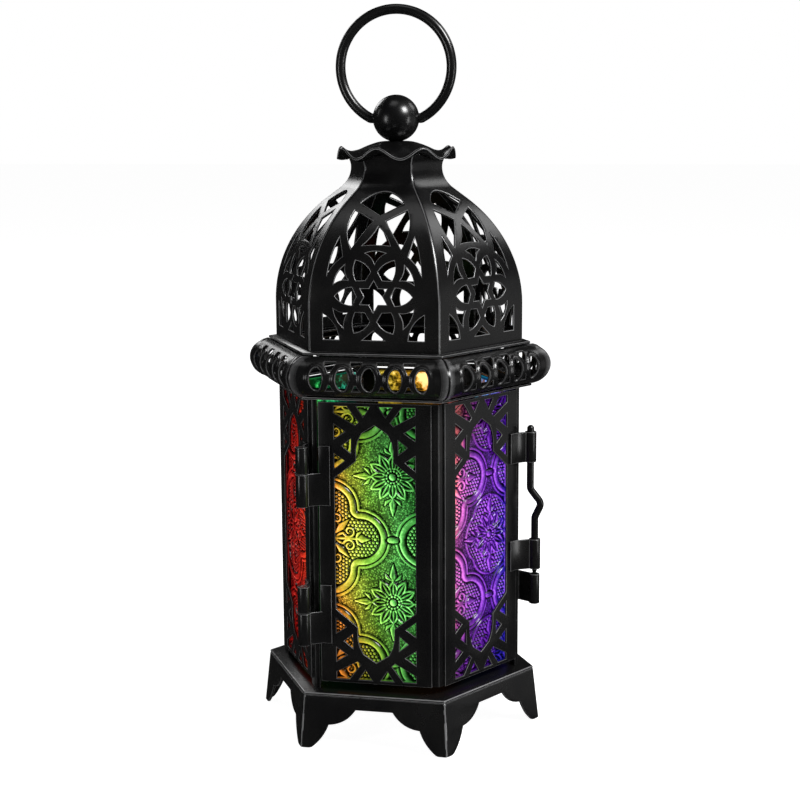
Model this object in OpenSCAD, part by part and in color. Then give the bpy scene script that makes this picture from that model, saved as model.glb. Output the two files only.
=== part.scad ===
// Fanous: a hexagonal candle lantern of pierced sheet metal with coloured glass panes.
// A two-panel door folds round the front, held by a drop bolt, and a carrying ring swings
// in the ball on top. Millimetres, +Z up, origin under the middle of the base.
// Side 0 faces -Y, and sides and corners are counted anticlockwise seen from above.

/* [Base] */
// Overhang of the base's upper corners outside the body's
base_out = 4.7; // [2.7:0.1:8.7]
// Spread of the feet outside the base's upper corners
base_spread = 2.3; // [0.5:0.1:4]
// Height of the base
base_h = 19.7; // [17:0.1:30]
// Thickness of the base's sheet
base_sheet = 1; // [0.8:0.1:1.4]
// Height of the level middle of the skirt's lower edge
arch_h = 14.4; // [10.5:0.1:15]
// Half width of that level middle
arch_half = 6.6; // [4:0.1:10]
// Height of the notch between scallop and foot
notch_h = 8.6; // [5:0.1:10]
// Width of a foot from its corner to the notch
foot_w = 9.9; // [8:0.05:12]
// Width of a foot's toe from its corner
toe_w = 3.6; // [2:0.05:5]
// Bulge of the scallop curves
skirt_bulge = 1.4; // [0.4:0.1:1.8]
// Bulge of the feet's sides
foot_bulge = 0.8; // [0.2:0.1:1.6]

/* [Body] */
// Corner radius of the body to the outside of its plates
body_r = 45.3; // [44:0.1:47]
// Height of the pierced plates
plate_h = 99.8; // [90:0.1:140]
// Distance of a plate's edge from the body's corner
plate_in = 2.85; // [2.45:0.05:3.15]
// Sheet thickness of plates, hinges and brackets
sheet = 0.8; // [0.6:0.1:1]
// Gap under the plates
foot_gap = 3; // [1:0.1:5]
// Gap over the plates
head_gap = 1.2; // [0.6:0.1:3]
// Border beside the pierced window in a plate
window_side = 5.6; // [5.3:0.1:6.8]
// Border over and under the window
window_border = 1.3; // [1:0.1:4]
// Depth of the bars beside the narrow neck of the window's main opening
neck_depth = 7.7; // [6.8:0.1:9.2]
// Thickness of the corner posts' sheet
post_sheet = 1; // [0.8:0.1:1.6]
// Width of a post's flange from the body's corner
post_flange = 5.75; // [5.05:0.05:6.05]
// Clearance at the door's edges
door_gap = 0.6; // [0.4:0.1:1]

/* [Glass] */
// Lap of a glass pane behind the window's sides
pane_lap = 1; // [0.8:0.1:1.3]
// Thickness of a glass pane with its raised pattern
pane_t = 3; // [2:0.1:4]
// Border of the glass behind the plate's edges
pane_border = 0.8; // [0.5:0.1:1]
// Depth of the pattern pressed into the glass
press_h = 0.9; // [0.4:0.1:1.2]
// Distance from one quatrefoil of the pattern to the next
press_pitch = 44.6; // [40:0.1:50]
// Width of a bent clip that holds a pane
clip_w = 5; // [3:0.1:8]
// Length of a clip's lip over the pane
clip_lip = 2.6; // [1.5:0.1:4]

/* [Hinges] */
// Distance of the hinge line outside the body's corner
hinge_out = 4.3; // [4.1:0.1:5.3]
// Height of a hinge
hinge_h = 21; // [14:0.1:30]
// Depth of the upper hinge's middle under the plates' upper edge
hinge_top_depth = 25.7; // [20:0.1:34]
// Height of the lower hinge's middle over the plates' lower edge
hinge_low_height = 24.7; // [17:0.1:34]
// Share of the hinge's height that the upper knuckle takes
knuckle_share = 0.45; // [0.3:0.01:0.7]
// Radius of a hinge knuckle
knuckle_r = 2.15; // [1.9:0.05:2.4]
// Radius of a hinge pin
hinge_pin_r = 1; // [0.8:0.05:1.2]
// Running clearance of pins, ring and bolt
run_gap = 0.06; // [0.03:0.01:0.1]
// Width of a leaf on its plate
leaf_w = 4.2; // [2.8:0.1:4.8]
// Distance from the plate's edge at which a leaf bends to its knuckle
leaf_bend_in = 1; // [0.4:0.1:1.8]

/* [Latch] */
// Distance of the bolt's upper leg outside the body's corner
bolt_top_out = 3.2; // [2.7:0.1:4.1]
// Distance of the bolt's lower leg outside the body's corner
bolt_low_out = 4.9; // [4.3:0.1:5.7]
// Distance of the finger bend outside the body's corner
bolt_bend_out = 7.3; // [6.7:0.1:8.7]
// Wire diameter of the drop bolt
bolt_d = 2.6; // [2:0.1:2.8]
// Radius of the bracket barrels
barrel_r = 2.1; // [1.9:0.05:2.4]
// Radius of the keeper's barrel
keeper_r = 1.9; // [1.8:0.05:2.2]
// Depth of the upper bracket's middle under the plates' upper edge
bracket_top_depth = 21; // [18:0.1:27]
// Height of the lower bracket's middle over the plates' lower edge
bracket_low_height = 39.4; // [35:0.1:43]
// Height of a bracket
bracket_h = 11; // [8:0.1:12]
// Gap between the lower bracket and the keeper
keeper_gap = 2; // [1.5:0.1:3]
// Gap between the bolt's tip and the keeper at rest
tip_gap = 0.4; // [0.3:0.1:0.8]
// Height of the bolt's top over the upper bracket
bolt_over = 2.4; // [2.3:0.1:5]

/* [Collar] */
// Radius of the rolled collar tube
tube_r = 7.2; // [6:0.1:8]
// Wall of the collar tube
tube_wall = 0.8; // [0.6:0.1:1.2]
// Distance of the tube's middle line outside the plates
tube_out = 2; // [1:0.1:3]
// Half angle of the tube's open inner side
tube_open = 50; // [30:1:60]
// Number of oval holes on a side
oval_count = 5; // [3:1:5]
// Plain tube beside the outer ovals' bands
collar_end = 1.05; // [0.8:0.05:2]
// Half width of an oval hole
oval_w = 2.6; // [1.8:0.1:2.7]
// Half height of an oval hole
oval_h = 4.2; // [3:0.1:4.3]
// Width of the band round an oval hole
oval_band = 1.95; // [1.5:0.05:2.2]
// Height of the outer edge of the cut-outs over the ovals' bands
spandrel_top = 6; // [5:0.1:6.1]
// Depth of the outer edge of the cut-outs under the ovals' bands
spandrel_low = 4.4; // [4:0.1:6.1]
// Sheet of the seats under and over the collar
seat_sheet = 0.8; // [0.6:0.1:1.2]

/* [Dome] */
// Distance of the dome's wall inside the collar's middle line
dome_in = 1.9; // [1:0.1:3]
// Sheet thickness of the dome
dome_sheet = 0.8; // [0.6:0.1:1]
// Height of the dome's upright wall
wall_h = 13.3; // [10:0.1:20]
// Radius of the dome's curve
dome_curve_r = 48.5; // [46:0.1:50]
// Angle of the dome's curve
dome_curve_a = 50; // [46:1:52]
// Length of the straight slope above it
slope_l = 5.4; // [2:0.1:6]
// Radius of the curve into the neck
neck_curve_r = 9.5; // [8:0.1:11]
// Radius of the neck's flare under the crown
flare_r = 6.5; // [5:0.1:8]
// Angle of the neck's flare
flare_a = 35; // [25:1:40]
// Height of the rosette's middle over the dome's lower edge
rosette_h = 19.15; // [18:0.05:22]
// Border of plain sheet beside the pattern
dome_border = 5.2; // [4.5:0.1:6.5]
// Height of the pattern's lowest edge over the dome's lower edge
dome_foot = 4.4; // [3:0.1:5]
// Radius of the rosette's star
star_r = 5.3; // [4.5:0.05:5.6]
// Radius at which the rosette's petals begin
petal_in = 5.95; // [5.7:0.05:6.6]
// Radius of the rosette's petal tips
petal_tip = 13.35; // [12.5:0.05:13.8]
// Radius inside the rosette's ring
ring_in = 14.4; // [14:0.05:14.8]
// Radius outside the rosette's ring
ring_out = 18.3; // [17.6:0.05:18.6]

/* [Crown] */
// Radius of the crown's frill
crown_r = 20.9; // [19:0.1:22]
// Sheet thickness of the crown
crown_sheet = 0.8; // [0.6:0.1:1]
// Depth of the frill's mean edge under the ball's foot
crown_drop = 3.5; // [2:0.1:4.4]
// Number of waves round the frill
wave_count = 8; // [6:1:12]
// Height of a wave from trough to crest
wave_h = 3.7; // [1:0.1:4]
// Direction of one crest
wave_from = -97; // [-120:1:-75]

/* [Top] */
// Radius of the ball
ball_r = 8.2; // [7:0.1:9]
// Height of the ball's middle over the neck
ball_up = 16.9; // [15.5:0.1:20]
// Radius of the ball's threaded stud
stud_r = 1.5; // [1.2:0.1:2]
// Radius of the carrying ring's middle line
ring_r = 19.9; // [17:0.1:22]
// Wire diameter of the carrying ring
ring_d = 3.5; // [3:0.1:4]
// Distance of the ring's middle over the ball's middle
ring_up = 17.7; // [15:0.1:18.5]
// Depth of the ring's ends in the ball
ring_end = 4.5; // [3:0.1:5]

/* [Candle seat] */
// Inner radius of the candle cup
cup_r = 20; // [18:0.5:26]
// Height of the candle cup
cup_h = 8; // [6:0.5:14]
// Wall of the candle cup
cup_wall = 0.8; // [0.6:0.1:1.5]
// Radius of the cup's rivet
rivet_r = 1.5; // [1.2:0.1:2.5]

/* [Hidden] */
$fn = 48;
tan30 = tan(30);
cos30 = cos(30);
eps = 0.01;
seat_gap = 0.3;
base_r = body_r + base_out;
base_foot_r = base_r + base_spread;
big = 2 * base_foot_r;
colour_metal = [0.07, 0.07, 0.075];
colour_edge = [0.16, 0.16, 0.17];

// Heights that follow from the pieces stacked on each other
plate_z = base_h + foot_gap;
seat_low_z = plate_z + plate_h + head_gap;
tube_z = seat_low_z + seat_sheet + tube_r;
seat_top_z = tube_z + tube_r;
dome_z = seat_top_z + seat_sheet;

// Distances of upright faces from the lantern's axis
body_a = body_r * cos30;
back_a = body_a - sheet;
post_a = back_a - post_sheet;
pane_a = back_a - pane_t;
tube_a = body_a + tube_out;
dome_a = tube_a - dome_in;
leaf_a = body_a + sheet;

// Distances from the middle of a side, whose length at the body's face is body_r
plate_w = body_r - 2 * plate_in;
window_w = plate_w - 2 * window_side;
pane_w = window_w + 2 * pane_lap;
post_from = body_r / 2 - post_flange;
leaf_from = plate_w / 2 - leaf_w;
leaf_bend = plate_w / 2 - leaf_bend_in;
notch_half = base_foot_r / 2 - foot_w;
toe_half = base_foot_r / 2 - toe_w;
oval_pitch = 2 * (tube_a * tan30 - collar_end) / oval_count;

// Hinges and latch follow the body's corners and the plates' edges
hinge_r = body_r + hinge_out;
hinge_top_z = plate_z + plate_h - hinge_top_depth;
hinge_low_z = plate_z + hinge_low_height;
bolt_top_r = body_r + bolt_top_out;
bolt_low_r = body_r + bolt_low_out;
bolt_bend_r = body_r + bolt_bend_out;
bracket_top_z = plate_z + plate_h - bracket_top_depth;
bracket_low_z = plate_z + bracket_low_height;

SIDES = ["front", "right", "back_right", "back", "back_left", "left"];

// A point at s along side k and a out from the axis
function side_pt(k, s, a) = [s * cos(60 * k) + a * sin(60 * k), s * sin(60 * k) - a * cos(60 * k)];

// Points of an arc from p to q that bulges to the right of the way by the given height
function arc_pts(p, q, bulge, n = 6) =
    let (d = q - p, l = norm(d), mid = (p + q) / 2, side = [d[1], -d[0]] / l)
    [for (i = [0:n - 1]) let (u = 2 * i / n - 1) p + d * i / n + side * bulge * (1 - u * u)];

function mirrored(points) = [for (i = [len(points) - 1:-1:0]) [-points[i][0], points[i][1]]];

module side(k) rotate(60 * k) children();

// Everything between the two corners of side 0
module wedge(h) linear_extrude(h)
    polygon([[0, 0], [-big * tan30, -big], [big * tan30, -big]]);

// A flat outline with s across and z up, run out from the axis between two distances
module through(a_in, a_out) translate([0, -a_in, 0]) rotate([90, 0, 0])
    linear_extrude(a_out - a_in) children();

module hex_plate(r, h) cylinder(r = r, h = h, $fn = 6);

module hex_ring(a_out, a_in, h) difference() {
    hex_plate(a_out / cos30, h);
    translate([0, 0, -1]) hex_plate(a_in / cos30, h + 2);
}

// Base

module base_top() color(colour_metal) difference() {
    translate([0, 0, base_h - base_sheet]) hex_plate(base_r, base_sheet);
    translate([0, 0, base_h - 2 * base_sheet]) cylinder(r = rivet_r, h = 3 * base_sheet);
}

skirt_h = base_h - base_sheet;
skirt_lean = atan((base_foot_r - base_r) * cos30 / base_h);

// The space inside six leaning planes at the given distance from the skirt's outer faces
module skirt_space(inset) intersection_for (k = [0:5]) side(k)
    translate([0, -(base_foot_r * cos30 - inset / cos(skirt_lean)), 0]) rotate([-skirt_lean, 0, 0])
        translate([-big, 0, -big]) cube([2 * big, 2 * big, 2 * big]);

module skirt_arch() polygon(concat(
    [[-toe_half, -1], [toe_half, -1]],
    arc_pts([toe_half, 0], [notch_half, notch_h], -foot_bulge),
    arc_pts([notch_half, notch_h], [arch_half, arch_h], -skirt_bulge),
    [[arch_half, arch_h]],
    arc_pts([-arch_half, arch_h], [-notch_half, notch_h], -skirt_bulge),
    arc_pts([-notch_half, notch_h], [-toe_half, 0], -foot_bulge)));

module base_skirt() color(colour_metal) difference() {
    intersection() {
        skirt_space(0);
        cylinder(r = big, h = skirt_h);
    }
    skirt_space(base_sheet);
    for (k = [0:5]) side(k) through(base_r / 2, big) skirt_arch();
}

// Candle seat

cup_floor_z = base_h + cup_wall;

// The rivet's head is sunk flush in the floor, so a candle stands flat on it
module candle_cup() color(colour_edge) rotate_extrude() polygon([
    [rivet_r, base_h], [cup_r + cup_wall, base_h], [cup_r + cup_wall, base_h + cup_h],
    [cup_r, base_h + cup_h], [cup_r, cup_floor_z], [2 * rivet_r, cup_floor_z]]);

module cup_rivet() color(colour_edge) {
    tail_z = base_h - base_sheet - rivet_r;
    rotate_extrude() polygon([
        [0, tail_z], [2 * rivet_r, tail_z], [2 * rivet_r, base_h - base_sheet],
        [rivet_r, base_h - base_sheet], [rivet_r, base_h], [2 * rivet_r, cup_floor_z], [0, cup_floor_z]]);
}

// Corner posts

module post(k, s_left, s_right, z0, z1) color(colour_metal) translate([0, 0, z0])
    linear_extrude(z1 - z0) polygon([
        side_pt(k, s_left, back_a), side_pt(k, back_a * tan30, back_a),
        side_pt(k + 1, -s_right, back_a), side_pt(k + 1, -s_right, post_a),
        side_pt(k, post_a * tan30, post_a), side_pt(k, s_left, post_a)]);

lip_from = plate_w / 2 + door_gap;
stile_to = plate_w / 2 - door_gap;

module hinge_post() post(5, post_from, lip_from, base_h, seat_low_z);
module latch_post() post(1, lip_from, post_from, base_h, seat_low_z);
module back_right_post() post(2, post_from, post_from, base_h, seat_low_z);
module back_left_post() post(3, post_from, post_from, base_h, seat_low_z);
module left_post() post(4, post_from, post_from, base_h, seat_low_z);
module door_post() post(0, post_from, post_from, plate_z, plate_z + plate_h);

module stile(k, hand) color(colour_metal) side(k) mirror([hand < 0 ? 1 : 0, 0, 0])
    translate([post_from, -back_a, plate_z]) cube([stile_to - post_from, post_sheet, plate_h]);

module door_hinge_stile() stile(0, -1);
module door_latch_stile() stile(1, 1);

// Pierced plates

window_half = window_w / 2;
window_h = plate_h - 2 * window_border;

// Openings of the right half of the window's head: s from the middle, d down from the top
w = window_half / 14.2;
n = window_half - neck_depth;
head_quad = [[9.7 * w, 0], [5.6 * w, 5.4], [6.7 * w, 6.5], [window_half, 2.4], [window_half, 0]];
head_triangle = [[1.6 * w, 0], [3.9 * w, 3.5], [6.2 * w, 0]];
side_triangle_1 = [[window_half, 6.3], [10.4 * w, 8.8], [window_half, 11.4]];
side_triangle_2 = [[8.3 * w, 11.3], [8.4 * w, 16.3], [11.4 * w, 13.8]];
side_triangle_3 = [[window_half, 16.6], [10.6 * w, 19], [window_half, 21.8]];
main_half = [[0, 6.4], [4.5 * w, 9.3], [5.9 * w, 12.2], [n, 15], [n, 19], [window_half, 25.2]];

module window_holes() {
    for (points = [head_quad, head_triangle, side_triangle_1, side_triangle_2, side_triangle_3])
        for (hand = [-1, 1], end = [-1, 1])
            polygon([for (p = points) [hand * p[0], end * (window_h / 2 - p[1])]]);
    polygon(concat(
        [for (i = [0:5]) [main_half[i][0], window_h / 2 - main_half[i][1]]],
        [for (i = [5:-1:0]) [main_half[i][0], main_half[i][1] - window_h / 2]],
        [for (i = [1:5]) [-main_half[i][0], main_half[i][1] - window_h / 2]],
        [for (i = [5:-1:1]) [-main_half[i][0], window_h / 2 - main_half[i][1]]]));
}

module plate(k) color(colour_metal) side(k) translate([0, 0, plate_z + plate_h / 2])
    through(back_a, body_a) difference() {
        square([plate_w, plate_h], center = true);
        window_holes();
    }

module front_plate() plate(0);
module right_plate() plate(1);
module back_right_plate() plate(2);
module back_plate() plate(3);
module back_left_plate() plate(4);
module left_plate() plate(5);

// Glass panes and the bent clips behind them

pane_z = plate_z + pane_border;
pane_h = plate_h - 2 * pane_border;

// The main ribs of the pressed pattern: quatrefoils with a cross of leaves, and flowers between
press_k = press_pitch / 44.6;
press_from = [[-16.3, 1.9], [-16.3, 21.9], [8, -2.6], [-12, 5.4], [14, -6.6], [-6, -0.6]];

module quatrefoil() difference() {
    union() {
        for (i = [0:3]) rotate(90 * i) translate([10.8, 0]) circle(r = 9.6);
        circle(r = 3);
    }
    for (i = [0:3]) rotate(90 * i) translate([10.8, 0]) circle(r = 6.9);
    circle(r = 11.2);
}

module leaf_cross() {
    for (i = [0:3]) {
        rotate(90 * i) polygon([[0, -0.6], [9.4, -0.5], [11.2, -1.5], [14.4, 0],
                                [11.2, 1.5], [9.4, 0.5], [0, 0.6]]);
        rotate(90 * i + 45) polygon([[2, 0], [5.6, -1.3], [9.6, 0], [5.6, 1.3]]);
    }
    circle(r = 2.2);
}

module flower() {
    for (i = [0:11]) rotate(30 * i)
        polygon([[1.8, 0], [5.6, -1.1], [7.2, -1], [8.6, 0], [7.2, 1], [5.6, 1.1]]);
    for (i = [0:3]) rotate(90 * i) polygon([[8.2, 0], [9.8, -1.35], [14, 0], [9.8, 1.35]]);
    circle(r = 2.6);
}

// One of the pattern's figures at every place of side k where the window shows it
module repeated(k, shift) for (i = [-2:2], j = [-2:2]) {
    at = press_from[k] + [i + shift, j + shift] * press_pitch;
    if (abs(at[0]) < window_half + 21 * press_k && abs(at[1]) < window_h / 2 + 21 * press_k)
        translate(at) scale(press_k) children();
}

module pane(k, tint) color(tint) difference() {
    side(k) translate([-pane_w / 2, -back_a, pane_z]) cube([pane_w, pane_t, pane_h]);
    side(k) translate([0, 0, plate_z + plate_h / 2]) through(back_a - press_h, back_a + 1) difference() {
        square([window_w, window_h], center = true);
        repeated(k, 0) quatrefoil();
        repeated(k, 0) leaf_cross();
        repeated(k, 0.5) flower();
    }
}

module front_pane() pane(0, [0.55, 0.85, 0.1, 0.8]);
module right_pane() pane(1, [0.35, 0.05, 0.85, 0.8]);
module back_right_pane() pane(2, [0.05, 0.35, 0.9, 0.8]);
module back_pane() pane(3, [0.95, 0.6, 0.05, 0.8]);
module back_left_pane() pane(4, [0.1, 0.6, 0.3, 0.8]);
module left_pane() pane(5, [0.85, 0.08, 0.06, 0.8]);

clip_sheet = post_from - pane_w / 2 - 0.9;
clip_gap = 0.3;
clip_inset = plate_h / 5;

module clip() {
    reach = pane_t + clip_gap + clip_sheet;
    translate([pane_w / 2 + clip_gap, -back_a, -clip_w / 2]) cube([clip_sheet, reach, clip_w]);
    translate([pane_w / 2 + clip_gap + clip_sheet - clip_lip, -back_a + pane_t + clip_gap, -clip_w / 2])
        cube([clip_lip, clip_sheet, clip_w]);
}

module clips(sides) color(colour_edge) for (k = sides, z = [plate_z + clip_inset, plate_z + plate_h - clip_inset])
    side(k) translate([0, 0, z]) {
        clip();
        mirror([1, 0, 0]) clip();
    }

module pane_clips() clips([2, 3, 4, 5]);
module door_pane_clips() clips([0, 1]);

// Collar with its seats

module lower_seat() color(colour_metal) translate([0, 0, seat_low_z])
    hex_ring(tube_a + 1, post_a - 3, seat_sheet);

module upper_seat() color(colour_metal) translate([0, 0, seat_top_z])
    hex_ring(tube_a + 0.5, post_a - 3, seat_sheet);

module oval(grow) polygon([for (i = [0:23])
    [(oval_w + grow) * cos(15 * i), (oval_h + grow) * sin(15 * i)]]);

// The cut-out over the touching bands of two ovals
module spandrel(h) difference() {
    translate([-oval_pitch / 2, 2.2]) square([oval_pitch, h - 2.2]);
    for (hand = [-1, 1]) translate([hand * oval_pitch / 2, 0]) {
        oval(oval_band);
        square([2 * oval_w, 3 * h], center = true);
    }
}

module collar_holes() {
    first = -(oval_count - 1) / 2 * oval_pitch;
    for (i = [0:oval_count - 1]) translate([first + i * oval_pitch, 0]) oval(0);
    for (i = [0:oval_count - 2]) translate([first + (i + 0.5) * oval_pitch, 0]) {
        spandrel(spandrel_top);
        mirror([0, 1]) spandrel(spandrel_low);
    }
}

module collar(k) color(colour_metal) side(k) intersection() {
    wedge(tube_z + 2 * tube_r);
    difference() {
        translate([0, -tube_a, tube_z]) rotate([0, 90, 0]) cylinder(r = tube_r, h = big, center = true);
        translate([0, -tube_a, tube_z]) rotate([0, 90, 0])
            cylinder(r = tube_r - tube_wall, h = 2 * big, center = true);
        translate([0, -tube_a, tube_z]) rotate([90, 0, 90]) linear_extrude(2 * big, center = true)
            polygon([[0, 0], [tube_r * 2, tube_r * 2 * tan(tube_open)],
                     [tube_r * 2, -tube_r * 2 * tan(tube_open)]]);
        translate([0, 0, tube_z]) through(tube_a, tube_a + 2 * tube_r) collar_holes();
    }
}

module front_collar() collar(0);
module right_collar() collar(1);
module back_right_collar() collar(2);
module back_collar() collar(3);
module back_left_collar() collar(4);
module left_collar() collar(5);

// Dome: the outer face as [distance from the axis, height, lean from upright], foot to rim

curve_end = [dome_a - dome_curve_r * (1 - cos(dome_curve_a)),
             dome_z + wall_h + dome_curve_r * sin(dome_curve_a)];
slope_end = curve_end + slope_l * [-sin(dome_curve_a), cos(dome_curve_a)];
neck = slope_end + neck_curve_r * [cos(dome_curve_a) - 1, sin(dome_curve_a)];
neck_z = neck[1];

dome_steps = 12;
neck_steps = 5;
flare_steps = 3;
dome_outline = concat(
    [[dome_a, dome_z, 0]],
    [for (i = [0:dome_steps]) let (t = i * dome_curve_a / dome_steps)
        [dome_a - dome_curve_r * (1 - cos(t)), dome_z + wall_h + dome_curve_r * sin(t), t]],
    [for (i = [0:neck_steps]) let (t = dome_curve_a * (1 - i / neck_steps))
        [slope_end[0] - neck_curve_r * (cos(t) - cos(dome_curve_a)),
         slope_end[1] + neck_curve_r * (sin(dome_curve_a) - sin(t)), t]],
    [for (i = [1:flare_steps]) let (t = flare_a * i / flare_steps)
        [neck[0] + flare_r * (1 - cos(t)), neck_z + flare_r * sin(t), -t]],
    [[neck[0] + flare_r * (1 - cos(flare_a)) + 4 * sin(flare_a),
      neck_z + flare_r * sin(flare_a) + 4 * cos(flare_a), -flare_a]]);

dome_band = concat(
    [for (p = dome_outline) [-p[0], p[1]]],
    [for (i = [len(dome_outline) - 1:-1:0]) let (p = dome_outline[i])
        [-p[0] + dome_sheet * cos(p[2]), p[1] - dome_sheet * sin(p[2])]]);

// Height and distance from the axis at a length measured up the dome's face
curve_l = dome_curve_r * dome_curve_a * PI / 180;
function height_at(l) =
    l < wall_h ? dome_z + l :
    l < wall_h + curve_l ? dome_z + wall_h + dome_curve_r * sin((l - wall_h) / dome_curve_r * 180 / PI) :
    l < wall_h + curve_l + slope_l ? curve_end[1] + (l - wall_h - curve_l) * cos(dome_curve_a) :
    let (t = dome_curve_a - (l - wall_h - curve_l - slope_l) / neck_curve_r * 180 / PI)
        slope_end[1] + neck_curve_r * (sin(dome_curve_a) - sin(t));

// Pierced pattern of a gore: a six-petalled rosette with a star in its middle, under crossing
// ribs. Points are [across, up] from the rosette's middle, measured on the face.
k_across = (dome_a * tan30 - dome_border) / 17.5;
k_up = 1.07;
low_edge = dome_foot - rosette_h;

function polar(r, a) = [r * cos(a), r * sin(a)];
function turned(points, a) = [for (p = points) [p[0] * cos(a) - p[1] * sin(a), p[0] * sin(a) + p[1] * cos(a)]];
function stretched(points) = [for (p = points) [p[0] * k_across, p[1] * k_up]];

star = [for (i = [0:11]) polar(i % 2 == 0 ? star_r : star_r / sqrt(3), 30 + 30 * i)];
petal_shoulder = [petal_in + 1.5, 2.85];
petal = concat(
    [[petal_in, 0]],
    arc_pts([petal_shoulder[0], -petal_shoulder[1]], [petal_tip, 0], 0.76, 4),
    arc_pts([petal_tip, 0], petal_shoulder, 0.76, 4),
    [petal_shoulder]);
corner_in = [petal_in + 4.45, 0];
between = concat(
    arc_pts(corner_in, polar(ring_in, -14), -0.5, 4),
    arc_pts(polar(ring_in, -14), polar(ring_in, 14), 0.7, 4),
    arc_pts(polar(ring_in, 14), corner_in, -0.5, 4));
foot_triangle = [[0, -11.6], [-3.8, low_edge], [3.8, low_edge]];
foot_corner = concat(
    arc_pts([ring_out * 0.655, low_edge], [17.5, -6], -1.4),
    [[17.5, -6], [17.5, low_edge]]);
sliver = concat(
    arc_pts([ring_out * 0.62, 13.7], [16.2, 7.6], -0.5, 4),
    arc_pts([16.2, 7.6], [13, 20.8], 0.5, 4),
    [[13, 20.8]]);
rib_cross = [2.2, 27.3];
shoulder = concat(
    [rib_cross],
    arc_pts([8.7, 16.5], [9.2, 32], 1.7),
    [[9.2, 32]]);
under_cross = concat(
    arc_pts([0, 25.1], [-4.8, 17.7], -0.5, 4),
    arc_pts([-4.8, 17.7], [4.8, 17.7], -0.3, 4),
    arc_pts([4.8, 17.7], [0, 25.1], 0.5, 4));
neck_lens = concat(
    [[0, 29.6]],
    arc_pts([7.65, 35.2], [-7.65, 35.2], 5.8, 10),
    [[-7.65, 35.2]]);

module dome_hole(points) polygon([for (p = points) [p[0], height_at(rosette_h + p[1])]]);

module dome_holes() {
    for (i = [0:5]) dome_hole(stretched(turned(petal, 60 * i)));
    for (i = [0, 1, 2, 3, 5]) dome_hole(stretched(turned(between, 30 + 60 * i)));
    for (points = [star, foot_triangle, under_cross, neck_lens])
        dome_hole([for (p = points) [p[0] * k_across, p[1]]]);
    for (points = [foot_corner, sliver, shoulder], hand = [-1, 1])
        dome_hole([for (p = points) [hand * p[0] * k_across, p[1]]]);
}

// The crown's upper face: its depth under the ball's foot and its share of the waves' height
// at shares of its radius
crown_fall = [[0, 0], [0.19, 0], [0.29, 0.09], [0.43, 0.34], [0.58, 0.66],
              [0.72, 1], [0.84, 1.25], [0.93, 1.2], [1, 1]];
crown_wave = [[0, 0], [0.58, 0], [0.72, 0.2], [0.84, 0.55], [0.93, 0.8], [1, 1]];
ball_z = neck_z + ball_up;
ball_foot_z = ball_z - ball_r * 0.975;
function crown_at(u, dir) = ball_foot_z - crown_drop * lookup(u, crown_fall)
    + wave_h / 2 * lookup(u, crown_wave) * cos(wave_count * (dir - wave_from));

// What lies over the neck's edge on side k, just under the crown
module over_neck(k) {
    steps = 16;
    far = neck[0] + flare_r * (1 - cos(flare_a)) + 0.3;
    half = far * tan30 + 1;
    polygon(concat(
        [for (i = [0:steps]) let (s = half * (2 * i / steps - 1))
            let (u = norm([s, far]) / crown_r, dir = 60 * k - 90 + atan(s / far))
            [s, crown_at(u, dir) - crown_sheet - seat_gap]],
        [[half, neck_z + 1], [2 * half, neck_z + 1], [2 * half, ball_z],
         [-2 * half, ball_z], [-2 * half, neck_z + 1], [-half, neck_z + 1]]));
}

module gore(k) color(colour_metal) side(k) intersection() {
    wedge(ball_z);
    difference() {
        rotate([90, 0, 90]) linear_extrude(big, center = true) polygon(dome_band);
        through(neck[0] / 2, big) {
            dome_holes();
            over_neck(k);
        }
    }
}

module front_gore() gore(0);
module right_gore() gore(1);
module back_right_gore() gore(2);
module back_gore() gore(3);
module back_left_gore() gore(4);
module left_gore() gore(5);

// Crown, ball and carrying ring

crown_steps = 72;
crown_rings = [for (f = crown_fall) if (f[0] > 0) f[0]];
crown_top = [for (u = crown_rings, j = [0:crown_steps - 1]) let (dir = 360 * j / crown_steps)
    [crown_r * u * cos(dir), crown_r * u * sin(dir), crown_at(u, dir)]];
crown_count = len(crown_top);
crown_last = crown_count - crown_steps;

function strip(a, b) = [for (j = [0:crown_steps - 1]) let (n = (j + 1) % crown_steps)
    each [[a + j, a + n, b + n], [a + j, b + n, b + j]]];

module crown() color(colour_metal) difference() {
    polyhedron(
        concat(crown_top, [for (p = crown_top) p - [0, 0, crown_sheet]]),
        concat(
            [[for (j = [crown_steps - 1:-1:0]) j]],
            [for (i = [1:len(crown_rings) - 1]) each strip((i - 1) * crown_steps, i * crown_steps)],
            strip(crown_last, crown_count + crown_last),
            [for (i = [len(crown_rings) - 1:-1:1]) each strip(crown_count + i * crown_steps,
                                                            crown_count + (i - 1) * crown_steps)],
            [[for (j = [0:crown_steps - 1]) crown_count + j]]));
    translate([0, 0, ball_foot_z - 2]) cylinder(r = stud_r + run_gap, h = 4);
}

module ball() color(colour_metal) difference() {
    translate([0, 0, ball_z]) sphere(r = ball_r);
    translate([-big, -big, ball_foot_z - big]) cube([2 * big, 2 * big, big]);
    translate([0, 0, ball_z]) rotate([0, 90, 0])
        cylinder(r = ring_d / 2 + run_gap, h = 3 * ball_r, center = true);
    translate([0, 0, ball_foot_z - 1]) cylinder(r = stud_r, h = stud_depth + 1);
}

stud_depth = ball_z - ball_foot_z - ring_d / 2 - 1.2;
nut_h = 2.2;
nut_top_z = ball_foot_z - crown_sheet;

module ball_stud() color(colour_edge) translate([0, 0, nut_top_z - nut_h - 1])
    cylinder(r = stud_r, h = ball_foot_z + stud_depth - nut_top_z + nut_h + 1);

module stud_nut() color(colour_edge) difference() {
    translate([0, 0, nut_top_z - nut_h]) cylinder(r = 2 * stud_r, h = nut_h, $fn = 6);
    translate([0, 0, nut_top_z - 2 * nut_h]) cylinder(r = stud_r, h = 4 * nut_h);
}

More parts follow.
